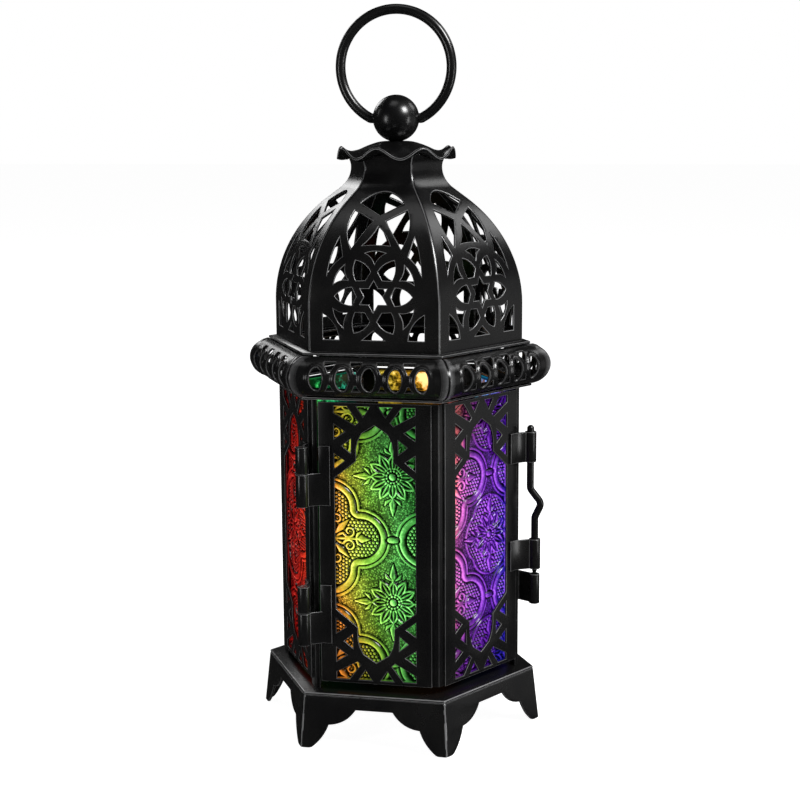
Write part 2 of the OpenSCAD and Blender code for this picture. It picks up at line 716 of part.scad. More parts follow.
ring_z = ball_z + ring_up;
ring_dip = asin(ring_up / ring_r);
ring_foot_x = ring_r * cos(ring_dip);

module carrying_ring() color(colour_metal) {
    translate([0, 0, ring_z]) rotate([90, 0, 0]) rotate(-ring_dip)
        rotate_extrude(angle = 180 + 2 * ring_dip) translate([ring_r, 0]) circle(d = ring_d);
    for (hand = [-1, 1]) translate([hand * ring_foot_x, 0, ball_z]) {
        sphere(d = ring_d + 0.02);
        rotate([0, -90 * hand, 0]) cylinder(d = ring_d, h = ring_end);
    }
}

// Hinges: a leaf lies on a plate's border and curls round the pin

hinge_s = hinge_r / 2;
hinge_a = hinge_r * cos30;
knuckle_gap = 0.3;

// A leaf with one curl, on the right half of side 0, its flat from z 0 to h
module leaf(h, curl_z0, curl_z1, curl_s, curl_a, r, bore_r, web = sheet) difference() {
    union() {
        translate([leaf_from, -leaf_a, 0]) cube([leaf_bend - leaf_from + sheet, sheet, h]);
        translate([0, 0, curl_z0]) linear_extrude(curl_z1 - curl_z0) {
            way = [curl_s - leaf_bend, leaf_a - sheet / 2 - curl_a];
            off = [-way[1], way[0]] / norm(way) * web / 2;
            polygon([[leaf_bend, -body_a], [curl_s, -curl_a] + off,
                     [curl_s, -curl_a] - off, [leaf_bend, -leaf_a]]);
        }
        translate([curl_s, -curl_a, curl_z0]) cylinder(r = r, h = curl_z1 - curl_z0);
    }
    translate([curl_s, -curl_a, curl_z0 - 1]) cylinder(r = bore_r, h = curl_z1 - curl_z0 + 2);
}

split_z = hinge_h * (1 - knuckle_share);

module hinge_frame_leaf(z) color(colour_metal) side(5) translate([0, 0, z - hinge_h / 2])
    leaf(hinge_h, split_z + knuckle_gap / 2, hinge_h, hinge_s, hinge_a, knuckle_r, hinge_pin_r);

module hinge_door_leaf(z) color(colour_metal) mirror([1, 0, 0]) translate([0, 0, z - hinge_h / 2])
    leaf(hinge_h, 0, split_z - knuckle_gap / 2, hinge_s, hinge_a, knuckle_r, hinge_pin_r + run_gap);

module hinge_pin(z) color(colour_edge) rotate(-120)
    translate([hinge_r, 0, z - hinge_h / 2]) cylinder(r = hinge_pin_r, h = hinge_h);

module upper_hinge_frame_leaf() hinge_frame_leaf(hinge_top_z);
module lower_hinge_frame_leaf() hinge_frame_leaf(hinge_low_z);
module upper_hinge_door_leaf() hinge_door_leaf(hinge_top_z);
module lower_hinge_door_leaf() hinge_door_leaf(hinge_low_z);
module upper_hinge_pin() hinge_pin(hinge_top_z);
module lower_hinge_pin() hinge_pin(hinge_low_z);

// Latch: two brackets on the door guide the drop bolt, and a keeper on the frame takes its tip

bolt_bore_r = bolt_d / 2 + run_gap;
keeper_top_z = bracket_low_z - bracket_h / 2 - keeper_gap;

module bracket(z, r) color(colour_metal) side(1) translate([0, 0, z - bracket_h / 2])
    leaf(bracket_h, 0, bracket_h, r / 2, r * cos30, barrel_r, bolt_bore_r);

module upper_bolt_bracket() bracket(bracket_top_z, bolt_top_r);
module lower_bolt_bracket() bracket(bracket_low_z, bolt_low_r);

module bolt_keeper() color(colour_metal) side(2) mirror([1, 0, 0])
    translate([0, 0, keeper_top_z - bracket_h])
        leaf(bracket_h, 0, bracket_h, bolt_low_r / 2, bolt_low_r * cos30, keeper_r, bolt_bore_r);

bolt_top_z = bracket_top_z + bracket_h / 2 + bolt_over;
bolt_tip_z = keeper_top_z + tip_gap;
bolt_taper = 3;
bend_mid_z = (bracket_top_z + bracket_low_z) / 2 - 1;
bend_h = 6.4;
bend_r = 3.6;
bend_steps = 3;

// The wire's middle line down from its domed top, as [distance from the axis, height]
bolt_line = [[bolt_top_r, bolt_top_z - bolt_d / 2], [bolt_top_r, bend_mid_z + bend_h],
             [bolt_bend_r, bend_mid_z], [bolt_low_r, bend_mid_z - bend_h],
             [bolt_low_r, bolt_tip_z + bolt_taper]];

function unit(v) = v / norm(v);
function turn_between(a, b) = atan2(a[0] * b[1] - a[1] * b[0], a * b);

// Points round bend i of the wire's line
function bend_pts(i) =
    let (in = unit(bolt_line[i] - bolt_line[i - 1]), out = unit(bolt_line[i + 1] - bolt_line[i]))
    let (turn = turn_between(in, out), centre_way = sign(turn) * [-in[1], in[0]])
    let (start = bolt_line[i] - in * bend_r * tan(abs(turn) / 2))
    [for (j = [0:bend_steps]) start + bend_r * (centre_way - turned([centre_way], turn * j / bend_steps)[0])];

bolt_pts = concat([bolt_line[0]], [for (i = [1:3]) each bend_pts(i)], [bolt_line[4]]);

module wire_run(p, q) translate([p[0], 0, p[1]])
    rotate([0, atan2(q[0] - p[0], q[1] - p[1]), 0]) cylinder(d = bolt_d, h = norm(q - p));

module drop_bolt() color(colour_metal) {
    for (i = [0:len(bolt_pts) - 2]) wire_run(bolt_pts[i], bolt_pts[i + 1]);
    for (i = [1:len(bolt_pts) - 2]) translate([bolt_pts[i][0], 0, bolt_pts[i][1]]) sphere(d = bolt_d + 0.02);
    translate([bolt_top_r, 0, bolt_top_z - bolt_d / 2]) sphere(d = bolt_d + 0.02);
    translate([bolt_low_r, 0, bolt_tip_z]) cylinder(d1 = bolt_d * 0.55, d2 = bolt_d + 0.02, h = bolt_taper + 0.05);
}

base_top();
base_skirt();
candle_cup();
cup_rivet();
hinge_post();
latch_post();
back_right_post();
back_left_post();
left_post();
back_right_plate();
back_plate();
back_left_plate();
left_plate();
back_right_pane();
back_pane();
back_left_pane();
left_pane();
pane_clips();
lower_seat();
front_collar();
right_collar();
back_right_collar();
back_collar();
back_left_collar();
left_collar();
upper_seat();
front_gore();
right_gore();
back_right_gore();
back_gore();
back_left_gore();
left_gore();
crown();
ball();
ball_stud();
stud_nut();
upper_hinge_frame_leaf();
lower_hinge_frame_leaf();
upper_hinge_pin();
lower_hinge_pin();
bolt_keeper();
door_post();
door_hinge_stile();
door_latch_stile();
front_plate();
right_plate();
front_pane();
right_pane();
door_pane_clips();
upper_hinge_door_leaf();
lower_hinge_door_leaf();
upper_bolt_bracket();
lower_bolt_bracket();
drop_bolt();
carrying_ring();
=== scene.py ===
"""Fanous: a hexagonal candle lantern of pierced, black painted sheet metal with pressed,
painted glass panes. Shapes are worked out in millimetres and finished in metres."""

import math

import bmesh
import bpy
import numpy as np
from mathutils import Matrix, Vector


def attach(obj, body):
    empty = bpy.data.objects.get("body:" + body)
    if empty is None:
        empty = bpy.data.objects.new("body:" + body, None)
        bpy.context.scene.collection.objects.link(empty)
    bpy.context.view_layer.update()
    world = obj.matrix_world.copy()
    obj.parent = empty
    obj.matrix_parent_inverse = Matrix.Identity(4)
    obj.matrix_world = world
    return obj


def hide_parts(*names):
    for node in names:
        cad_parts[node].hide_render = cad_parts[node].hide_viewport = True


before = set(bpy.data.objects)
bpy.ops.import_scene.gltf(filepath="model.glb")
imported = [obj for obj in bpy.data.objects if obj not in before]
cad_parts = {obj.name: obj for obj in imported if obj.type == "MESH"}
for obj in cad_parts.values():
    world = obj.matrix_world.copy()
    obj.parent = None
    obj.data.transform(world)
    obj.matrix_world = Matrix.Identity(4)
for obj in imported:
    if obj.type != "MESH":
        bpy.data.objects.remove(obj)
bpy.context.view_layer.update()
bpy.ops.object.select_all(action="DESELECT")

MM = 0.001
JOIN = 1e-4
SIDES = ["front", "right", "back_right", "back", "back_left", "left"]
DOOR_SIDES = (0, 1)
TAN30 = math.tan(math.radians(30))
COS30 = math.cos(math.radians(30))

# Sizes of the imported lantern, in millimetres
BODY_R = 45.3
PLATE_LOW, PLATE_HIGH = 22.7, 122.5
SHEET = 0.8
PANE_W, PANE_T = 30.4, 3.0
PANE_LOW, PANE_HIGH = 23.5, 121.7
WINDOW_W, WINDOW_LOW, WINDOW_HIGH = 28.4, 24.0, 121.2
PLATE_W = 39.6
TUBE_R, TUBE_Z = 7.2, 131.7
BASE_FOOT_R, BASE_R, BASE_H, BASE_SHEET = 52.3, 50.0, 19.7, 1.0
DOME_Z = 139.7
BODY_A = BODY_R * COS30
BACK_A = BODY_A - SHEET
TUBE_A = BODY_A + 2.0
DOME_A = TUBE_A - 1.9
BALL_R, BALL_Z = 8.2, 217.802
BALL_FOOT_Z = BALL_Z - BALL_R * 0.975
RING_R, RING_WIRE, RING_Z = 19.9, 3.5, 235.502
BORE_PLAY = 0.06


# Small helpers for working by hand in edit mode

def take(piece):
    """Makes a piece the only selected one."""
    bpy.ops.object.select_all(action="DESELECT")
    bpy.context.view_layer.objects.active = piece
    piece.select_set(True)


def edit(piece, whole=False):
    """Opens a piece in edit mode with nothing selected, or the whole of it."""
    take(piece)
    bpy.ops.object.mode_set(mode="EDIT")
    bpy.ops.mesh.select_all(action="SELECT" if whole else "DESELECT")
    return bmesh.from_edit_mesh(piece.data)


def leave():
    bpy.ops.object.mode_set(mode="OBJECT")


def cut(place, normal, threshold=1e-5, **settings):
    """Cuts the piece that is open in edit mode with a plane."""
    bpy.ops.mesh.select_all(action="SELECT")
    bpy.ops.mesh.bisect(plane_co=tuple(place), plane_no=tuple(normal), threshold=threshold, **settings)


def weld(piece, distance=JOIN):
    """Merges doubled points and turns all faces outwards."""
    edit(piece, whole=True)
    bpy.ops.mesh.remove_doubles(threshold=distance)
    bpy.ops.mesh.normals_make_consistent(inside=False)
    leave()


def points_of(piece):
    co = np.empty(len(piece.data.vertices) * 3)
    piece.data.vertices.foreach_get("co", co)
    return co.reshape(-1, 3)


def set_points(piece, co):
    piece.data.vertices.foreach_set("co", np.asarray(co, np.float32).ravel())
    piece.data.update()


def side_points(piece):
    """Points of a piece on side 0, as s along the side, distance out and height."""
    return points_of(piece) * (1, -1, 1)


def turn_to_side(co, k):
    """Points given as s along side 0, distance out and height, on side k of the lantern."""
    c, d = math.cos(math.radians(60 * k)), math.sin(math.radians(60 * k))
    s, a, z = co[:, 0], co[:, 1], co[:, 2]
    return np.stack([s * c + a * d, s * d - a * c, z], 1)


def use_modifier(piece, kind, **settings):
    take(piece)
    modifier = piece.modifiers.new(kind.title(), kind)
    for key, value in settings.items():
        setattr(modifier, key, value)
    bpy.ops.object.modifier_apply(modifier=modifier.name)


def added(name, data):
    """A new object in the scene."""
    made = bpy.data.objects.new(name, data)
    bpy.context.scene.collection.objects.link(made)
    return made


def copy_of(piece, name):
    made = added(name, piece.data.copy())
    made.data.name = name
    return made


def meshed(curve, weld_reach=JOIN):
    """A piece made of a curve, its doubled points merged."""
    take(added(curve.name, curve))
    bpy.ops.object.convert(target="MESH")
    piece = bpy.context.active_object
    weld(piece, weld_reach)
    return piece


def mark_wear_and_sheen(piece, rubbed):
    """Marks how far each face's paint is rubbed to bare metal, which also paints a sheen there."""
    if "edge" not in piece.data.attributes:
        piece.data.attributes.new("edge", "FLOAT", "FACE")
    values = piece.data.attributes["edge"].data
    before = np.empty(len(values), np.float32)
    values.foreach_get("value", before)
    values.foreach_set("value", np.maximum(before, np.asarray(rubbed, np.float32)))


def bevelled(piece, width, segments, angle, wear_and_sheen):
    """Rounds the edges sharper than an angle, and marks them as rubbed and painted with a sheen. The
    rounded faces are told apart by a second material slot."""
    piece.data.materials.clear()
    for _ in range(2):
        piece.data.materials.append(FINISH["black_metal"])
    use_modifier(piece, "BEVEL", width=width, segments=segments, limit_method="ANGLE",
                 angle_limit=math.radians(angle), use_clamp_overlap=True, material=1)
    made = np.empty(len(piece.data.polygons), np.int32)
    piece.data.polygons.foreach_get("material_index", made)
    mark_wear_and_sheen(piece, wear_and_sheen * (made == 1))
    piece.data.polygons.foreach_set("material_index", np.zeros(len(made), np.int32))
    piece.data.materials.clear()


def near_mitre(piece, reach):
    """Whether each face of a side's piece lies close to the corner where it is mitred."""
    centres = np.array([p.center[:] for p in piece.data.polygons])
    return (np.abs(centres[:, 1]) * TAN30 - np.abs(centres[:, 0])) * COS30 < reach


def body_of_side(k):
    return "door" if k in DOOR_SIDES else "lantern"


def stand_for(piece, node, body, slot, angle=35):
    """Lets a piece stand for a node, smooth over bends up to an angle."""
    take(piece)
    bpy.ops.object.shade_smooth_by_angle(angle=math.radians(angle))
    piece.data.materials.clear()
    piece.data.materials.append(FINISH[slot])
    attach(piece, body)
    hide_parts(node)


def finish_piece(piece, node, angle, body="lantern", slot="black_metal"):
    """Scales a piece made in millimetres to metres and lets it stand for its node."""
    piece.data.transform(Matrix.Scale(MM, 4))
    piece.name = node + "_made"
    piece.data.name = piece.name
    stand_for(piece, node, body, slot, angle)


def on_all_sides(piece, part, flat, angle=35, body_of=lambda k: "lantern", fit=None):
    """Copies a side's piece to the six sides of the lantern. Its points are given as s along
    the side, distance out and height, and fit changes them once they are in place."""
    for k, side in enumerate(SIDES):
        node = f"{side}_{part}"
        made = copy_of(piece, node)
        placed = turn_to_side(flat, k)
        set_points(made, fit(placed) if fit else placed)
        weld(made)
        finish_piece(made, node, angle, body_of(k))
    bpy.data.objects.remove(piece)


def dome_bump(d, width):
    """Rounded bump of height 1 and the given half width over a distance."""
    return np.sqrt(np.clip(1 - (d / width) ** 2, 0, 1))


def distance_to(loops, x, y):
    """Distance of points to the nearest of the loops' lines."""
    best = np.full(len(x), 99.0)
    for loop in loops:
        for (x0, y0), (x1, y1) in zip(loop, loop[1:] + loop[:1]):
            dx, dy = x1 - x0, y1 - y0
            t = np.clip(((x - x0) * dx + (y - y0) * dy) / max(dx * dx + dy * dy, 1e-12), 0, 1)
            best = np.minimum(best, np.hypot(x - x0 - t * dx, y - y0 - t * dy))
    return best


# Flat patterns, cut from sheet with rounded rims

def wound(points, turn):
    """A loop's points, the way round that turn says: 1 for anticlockwise and -1 for clockwise."""
    area = sum(p[0] * q[1] - q[0] * p[1] for p, q in zip(points, points[1:] + points[:1]))
    return points if area * turn > 0 else points[::-1]


def arc(p, q, bulge, count=8):
    """Points of a curve from p to q that bulges to the right of the way."""
    p, q = np.array(p, float), np.array(q, float)
    d = q - p
    side = np.array([d[1], -d[0]]) / np.linalg.norm(d)
    steps = np.arange(count) / count
    return [tuple(p + d * u + side * bulge * (1 - (2 * u - 1) ** 2)) for u in steps]


def flat_sheet(name, outline, holes, thickness, rim, fineness=2, wear_and_sheen=0.6):
    """A sheet cut to an outline with holes, its rims rounded, rubbed a little and painted with a sheen, in
    the XY plane.
    """
    curve = bpy.data.curves.new(name, "CURVE")
    curve.dimensions = "2D"
    curve.fill_mode = "BOTH"
    curve.extrude = thickness / 2 - rim
    curve.bevel_depth = rim
    curve.bevel_resolution = fineness
    curve.offset = -rim
    loops = [wound(list(outline), 1)] + [wound(list(h), -1) for h in holes]
    for loop in loops:
        spline = curve.splines.new("POLY")
        spline.points.add(len(loop) - 1)
        for point, (x, y) in zip(spline.points, loop):
            point.co = (x, y, 0, 1)
        spline.use_cyclic_u = True
    piece = meshed(curve, 0.002)
    rise = np.abs([p.normal.z for p in piece.data.polygons])
    # Rubbed paint on the rounded rims, which also paints a sheen along them
    mark_wear_and_sheen(piece, wear_and_sheen * ((rise > 0.12) & (rise < 0.98)))
    return piece


def slice_sheet(piece, lengths, widths=()):
    """Cuts a flat sheet at lengths and widths, so that it can be rolled and pressed there."""
    edit(piece)
    for y in lengths:
        cut((0, y, 0), (0, 1, 0))
    for x in widths:
        cut((x, 0, 0), (1, 0, 0))
    leave()


def mitre(piece, steps):
    """Trims a side between its two corner planes and slices it where the corners round."""
    edit(piece)
    for hand in (-1, 1):
        normal = Vector((hand * COS30, 0.5, 0))
        for step in steps:
            cut(-normal * step, normal)
        cut((0, 0, 0), normal, clear_outer=True, use_fill=True)
    leave()


def round_corners(co, radius):
    """Rounds the corners between the sides: points as s, distance out and height."""
    run = radius * TAN30
    s, a = co[:, 0].copy(), co[:, 1].copy()
    corner = a * TAN30
    u = np.clip(corner - np.abs(s), 0, None)
    near = u < run
    phi = np.radians(30) * (1 - np.clip(u / run, 0, 1))
    out = co.copy()
    out[:, 0] = np.where(near, np.sign(s) * (corner - run + radius * np.sin(phi)), s)
    out[:, 1] = np.where(near, a - radius + radius * np.cos(phi), a)
    return out


# Materials

class Shade:
    """A socket of a material's nodes that takes part in sums, and a way to add nodes."""

    def __init__(self, tree, socket=None):
        self.tree, self.socket = tree, socket

    def node(self, kind, settings=None, out=0, **sockets):
        made = self.tree.nodes.new("ShaderNode" + kind)
        for key, value in (settings or {}).items():
            if key == "stops":
                elements = made.color_ramp.elements
                while len(elements) < len(value):
                    elements.new(0.5)
                for element, (place, colour) in zip(elements, value):
                    element.position = place
                    element.color = (*colour, 1)
            else:
                setattr(made, key, value)
        give(made, **sockets)
        return Shade(self.tree, made.outputs[out])

    def sum(self, operation, other, swapped=False):
        a, b = (other, self) if swapped else (self, other)
        return self.node("Math", {"operation": operation}, i0=a, i1=b)

    def __add__(self, other):
        return self.sum("ADD", other)

    __radd__ = __add__

    def __mul__(self, other):
        return self.sum("MULTIPLY", other)

    __rmul__ = __mul__

    def __sub__(self, other):
        return self.sum("SUBTRACT", other)

    def __rsub__(self, other):
        return self.sum("SUBTRACT", other, swapped=True)

    def __pow__(self, other):
        return self.sum("POWER", other)

    def between(self, low, high):
        """0 below low and 1 above high, with a soft step between."""
        return self.node("MapRange", {"interpolation_type": "SMOOTHSTEP"},
                         Value=self, From_Min=low, From_Max=high)

    def scaled(self, factor):
        """This colour times a factor."""
        return self.node("VectorMath", {"operation": "SCALE"}, Vector=self, Scale=factor)

    def attribute(self, name):
        return self.node("Attribute", {"attribute_name": name}, out="Fac")

    def noise(self, scale, detail, roughness=0.5):
        """Noise over these coordinates, grains to the metre by its scale."""
        return self.node("TexNoise", Vector=self, Scale=scale, Detail=detail,
                         Roughness=roughness)

    def mix(self, colour_a, colour_b):
        """Colours mixed by this factor."""
        return self.node("Mix", {"data_type": "RGBA"}, out=2, i0=self, i6=colour_a, i7=colour_b)


def new_material(name):
    material = bpy.data.materials.new(name)
    material.use_nodes = True
    tree = material.node_tree
    tree.nodes.clear()
    output = tree.nodes.new("ShaderNodeOutputMaterial")
    shader = tree.nodes.new("ShaderNodeBsdfPrincipled")
    tree.links.new(shader.outputs[0], output.inputs[0])
    return material, Shade(tree), shader


def give(node, **values):
    """Sets a node's sockets to numbers, colours or links. A socket goes by its name, or by i and
    its number."""
    for key, value in values.items():
        numbered = key[0] == "i" and key[1:].isdigit()
        target = node.inputs[int(key[1:]) if numbered else key.replace("_", " ")]
        if isinstance(value, Shade):
            value.tree.links.new(value.socket, target)
        else:
            target.default_value = value


def black_paint():
    """Satin black paint baked on sheet metal: faint orange peel, rubbed patches, specks of dust."""
    material, base, shader = new_material("black_paint")
    place = base.node("TexCoord", out="Object")
    peel = place.noise(700, 2)
    rubbed = place.noise(45, 4, 0.6)
    grain = place.noise(4200, 1)
    specks = grain.between(0.78, 0.86)
    dark = rubbed.between(0.35, 0.7).mix((0.0024, 0.0024, 0.0026, 1), (0.0045, 0.0044, 0.0043, 1))
    edge = base.attribute("edge")
    # Rims rubbed to bare metal, lighter and metallic, which also paints a sheen along them
    worn_and_sheen = edge * (rubbed.between(0.35, 0.62) * 0.55 + 0.35)
    colour = (specks * 0.2).mix(dark, (0.014, 0.0137, 0.0133, 1))
    give(shader,
         Base_Color=worn_and_sheen.mix(colour, (0.34, 0.34, 0.345, 1)),
         Metallic=worn_and_sheen * 0.9,
         Roughness=rubbed.between(0.3, 0.75) * 0.05 + grain * 0.02 + worn_and_sheen * 0.1 + 0.225,
         Normal=base.node("Bump", Height=peel, Strength=0.02, Distance=0.00006),
         IOR=1.47)
    return material


def dark_steel():
    """Blackened steel of pins, stud and nut, drawn lengthways."""
    material, base, shader = new_material("dark_steel")
    place = base.node("TexCoord", out="Object")
    drawn = base.node("Mapping", Vector=place, Scale=(1, 1, 0.04))
    lines = drawn.noise(5200, 2)
    stains = place.noise(260, 3)
    give(shader,
         Base_Color=stains.between(0.35, 0.7).mix((0.16, 0.16, 0.165, 1), (0.3, 0.295, 0.285, 1)),
         Metallic=1.0,
         Roughness=lines * 0.2 + stains * 0.15 + 0.16,
         Normal=base.node("Bump", Height=lines, Strength=0.2, Distance=0.00005))
    return material


def pressed_glass(name, across, glare=(0.1, 0.12, 0.1), head=0.6, foot=0.55, lean=0.0):
    """Pressed glass painted in running colours and glowing with painted light, for the slot of its name.
    The stops of across run over the pane's width, lean shifts them towards its foot, glare is the colour
    of the painted highlight added where it is brightest, and head and foot are the brightness at its ends."""
    material, base, shader = new_material(name)
    place = base.node("TexCoord", out="Object")
    across_up = base.node("UVMap", {"uv_map": "pane"})
    x = base.node("SeparateXYZ", out="X", Vector=across_up)
    y = base.node("SeparateXYZ", out="Y", Vector=across_up)
    flow = place.noise(32, 3) - 0.5
    streak = place.noise(150, 3) - 0.5
    relief = base.attribute("relief")
    lit = base.attribute("lit")
    # Hues shift towards the first stops where the painted light is brighter
    run = x + flow * 0.34 + streak * 0.16 + (y - 0.5) * lean - (lit - 0.54) * 0.2
    colour = base.node("ValToRGB", {"stops": across}, Fac=run)
    ends = ((y + flow * 0.2).between(0.02, 0.32) * (1 - foot) + foot) * (
        1 - (y + flow * 0.2).between(0.7, 0.97) * (1 - head))
    stipple = base.node("TexVoronoi", Vector=place, Scale=1700.0)
    fine = place.noise(1300, 2)
    blotch = place.noise(120, 5, 0.7)
    ground = relief.between(0.24, 0.3) * (1 - relief.between(0.38, 0.5))
    grit = (0.4 - stipple.between(0.1, 0.6)) * (ground * 0.24 + 0.04) + (fine - 0.5) * 0.25
    # Brightness of the painted glow: the painted light and shade, grit and blotches, with painted shade in
    # the grooves and dimmer ends
    bright = (lit + grit + (blotch - 0.5) * 0.4).between(0.04, 1.0)
    bright = (bright ** 2.0) * (relief.between(0.0, 0.2) * 0.6 + 0.4) * ends
    # The pane's back is painted dark, as shade inside the lantern, with painted glimpses of light near its
    # top
    inner = 1 - relief.between(-0.9, -0.6)
    glimpse = (y + (blotch - 0.5) * 0.1).between(0.86, 0.95) * blotch.between(0.46, 0.64) * 0.9 + 0.02
    bright = bright + inner * (glimpse - bright)
    # A painted highlight of the glare colour where the glow is brightest
    painted_highlight = (bright - 0.42).between(0.0, 0.55)
    gleam = base.node("CombineXYZ", X=painted_highlight * glare[0], Y=painted_highlight * glare[1], Z=painted_highlight * glare[2])
    shown = base.node("VectorMath", {"operation": "ADD"}, i0=colour.scaled(bright * 2.95), i1=gleam)
    skin = stipple * ground + fine * 0.3
    # The glass glows with this painted light, which its base colour carries too
    give(shader,
         Base_Color=shown.scaled(0.35),
         Roughness=fine * 0.14 + 0.08,
         Emission_Color=shown, Emission_Strength=1.0,
         Normal=base.node("Bump", Height=skin, Strength=0.3, Distance=0.00022),
         IOR=1.36)
    FINISH[name] = material


# The finish of each material slot
FINISH = {"black_metal": black_paint(), "plain_steel": dark_steel()}
pressed_glass("green_glass", [
    (0.0, (0.58, 0.18, 0.02)), (0.1, (0.52, 0.31, 0.025)), (0.25, (0.35, 0.39, 0.03)),
    (0.46, (0.15, 0.37, 0.035)), (0.7, (0.09, 0.39, 0.07)), (0.95, (0.04, 0.24, 0.04))],
    glare=(0.22, 0.3, 0.16), head=0.5, foot=0.5, lean=0.24)
pressed_glass("violet_glass", [
    (0.0, (0.42, 0.09, 0.1)), (0.1, (0.21, 0.036, 0.17)), (0.3, (0.105, 0.02, 0.19)),
    (0.5, (0.078, 0.009, 0.22)), (0.8, (0.05, 0.006, 0.21)), (1.0, (0.01, 0.008, 0.24))],
    glare=(0.22, 0.08, 0.2), head=0.4, foot=0.6, lean=-0.3)
pressed_glass("blue_glass", [
    (0.05, (0.05, 0.03, 0.30)), (0.4, (0.01, 0.07, 0.36)),
    (0.75, (0.01, 0.16, 0.38)), (1.0, (0.01, 0.24, 0.34))])
pressed_glass("amber_glass", [
    (0.05, (0.42, 0.08, 0.01)), (0.35, (0.46, 0.19, 0.01)),
    (0.7, (0.48, 0.27, 0.015)), (1.0, (0.42, 0.32, 0.03))],
    glare=(0.5, 0.45, 0.35))
pressed_glass("teal_glass", [
    (0.05, (0.01, 0.22, 0.17)), (0.4, (0.012, 0.3, 0.1)),
    (0.75, (0.02, 0.32, 0.05)), (1.0, (0.12, 0.34, 0.03))],
    glare=(0.45, 0.55, 0.45))
pressed_glass("red_glass", [
    (0.05, (0.17, 0.004, 0.004)), (0.4, (0.27, 0.006, 0.004)),
    (0.75, (0.42, 0.016, 0.006)), (1.0, (0.48, 0.06, 0.012))],
    glare=(0.3, 0.12, 0.08))


# Pierced plates of the body

def fret_holes():
    """The triangles and bays of a plate's window, as s and height from its middle."""
    half, high = WINDOW_W / 2, (WINDOW_HIGH - WINDOW_LOW) / 2
    small = [
        [(9.7, 0), (5.6, 5.4), (6.7, 6.5), (half, 2.4), (half, 0)],
        [(1.6, 0), (3.9, 3.5), (6.2, 0)],
        [(half, 6.3), (10.4, 8.8), (half, 11.4)],
        [(8.3, 11.3), (8.4, 16.3), (11.4, 13.8)],
        [(half, 16.6), (10.6, 19), (half, 21.8)]]
    holes = [[(hand * s, end * (high - d)) for s, d in shape]
             for shape in small for hand in (-1, 1) for end in (-1, 1)]
    main = [(0, 6.4), (4.5, 9.3), (5.9, 12.2), (6.5, 15), (6.5, 19), (half, 25.2)]
    holes.append([(s, high - d) for s, d in main]
                 + [(s, d - high) for s, d in main[::-1]]
                 + [(-s, d - high) for s, d in main[1:]]
                 + [(-s, high - d) for s, d in main[:0:-1]])
    return holes


def pierced_plates():
    half_w, half_h = PLATE_W / 2, (PLATE_HIGH - PLATE_LOW) / 2
    middle = (PLATE_HIGH + PLATE_LOW) / 2
    outline = [(-half_w, -half_h), (half_w, -half_h), (half_w, half_h), (-half_w, half_h)]
    plate = flat_sheet("plate", outline, fret_holes(), SHEET, 0.2, wear_and_sheen=0.22)
    co = points_of(plate)
    flat = np.stack([co[:, 0], BODY_A - SHEET / 2 + co[:, 2], co[:, 1] + middle], 1)
    on_all_sides(plate, "plate", flat, body_of=body_of_side)


# Collar: rolled tube, pierced with linked ovals

OVALS, OVAL_W, OVAL_H, OVALS_END = 5, 2.2, 4.1, 1.05
BAND_W, BAND_H, BAND_FACE = 4.55, 6.15, 0.75
SPANDREL_W, SPANDREL_FROM, SPANDREL_TOP, SPANDREL_FOOT = 1.95, 2.2, 6.0, 4.4
TUBE_TURN, TUBE_SHEET, PRESSED_IN = 130, 0.8, 0.42
MITRE_CUTS = (0.2, 0.45, 0.7, 1.0, 1.4, 1.9, 2.5)
# Rubbed paint with a painted sheen beside the mitres: reach from the seam, and how much
MITRE_SHEEN_AND_WEAR = ((2.5, 0.06), (1.9, 0.13), (1.4, 0.2), (1.0, 0.28))


def oval_ring(cx, count=32):
    turns = [2 * math.pi * i / count for i in range(count)]
    return [(cx + OVAL_W * math.cos(t), OVAL_H * math.sin(t)) for t in turns]


def spandrel(cx, pitch, far):
    """The cut-out over the place where two ovals' bands touch, up to a height."""
    def across(y):
        return pitch / 2 - BAND_W * math.sqrt(max(0, 1 - (y / BAND_H) ** 2))
    right = [(min(across(y), SPANDREL_W), y) for y in np.linspace(SPANDREL_FROM, far, 7)]
    return [(cx + x, y) for x, y in right] + [(cx - x, y) for x, y in right[::-1]]


def collar_holes(pitch):
    """Ovals in a row with a cut-out above and below each place where they touch."""
    ovals = [oval_ring((i - (OVALS - 1) / 2) * pitch) for i in range(OVALS)]
    between = []
    for i in range(OVALS - 1):
        middle = (i - (OVALS - 2) / 2) * pitch
        for hand, far in ((1, SPANDREL_TOP), (-1, SPANDREL_FOOT)):
            between.append([(x, hand * y) for x, y in spandrel(middle, pitch, far)])
    return ovals + between


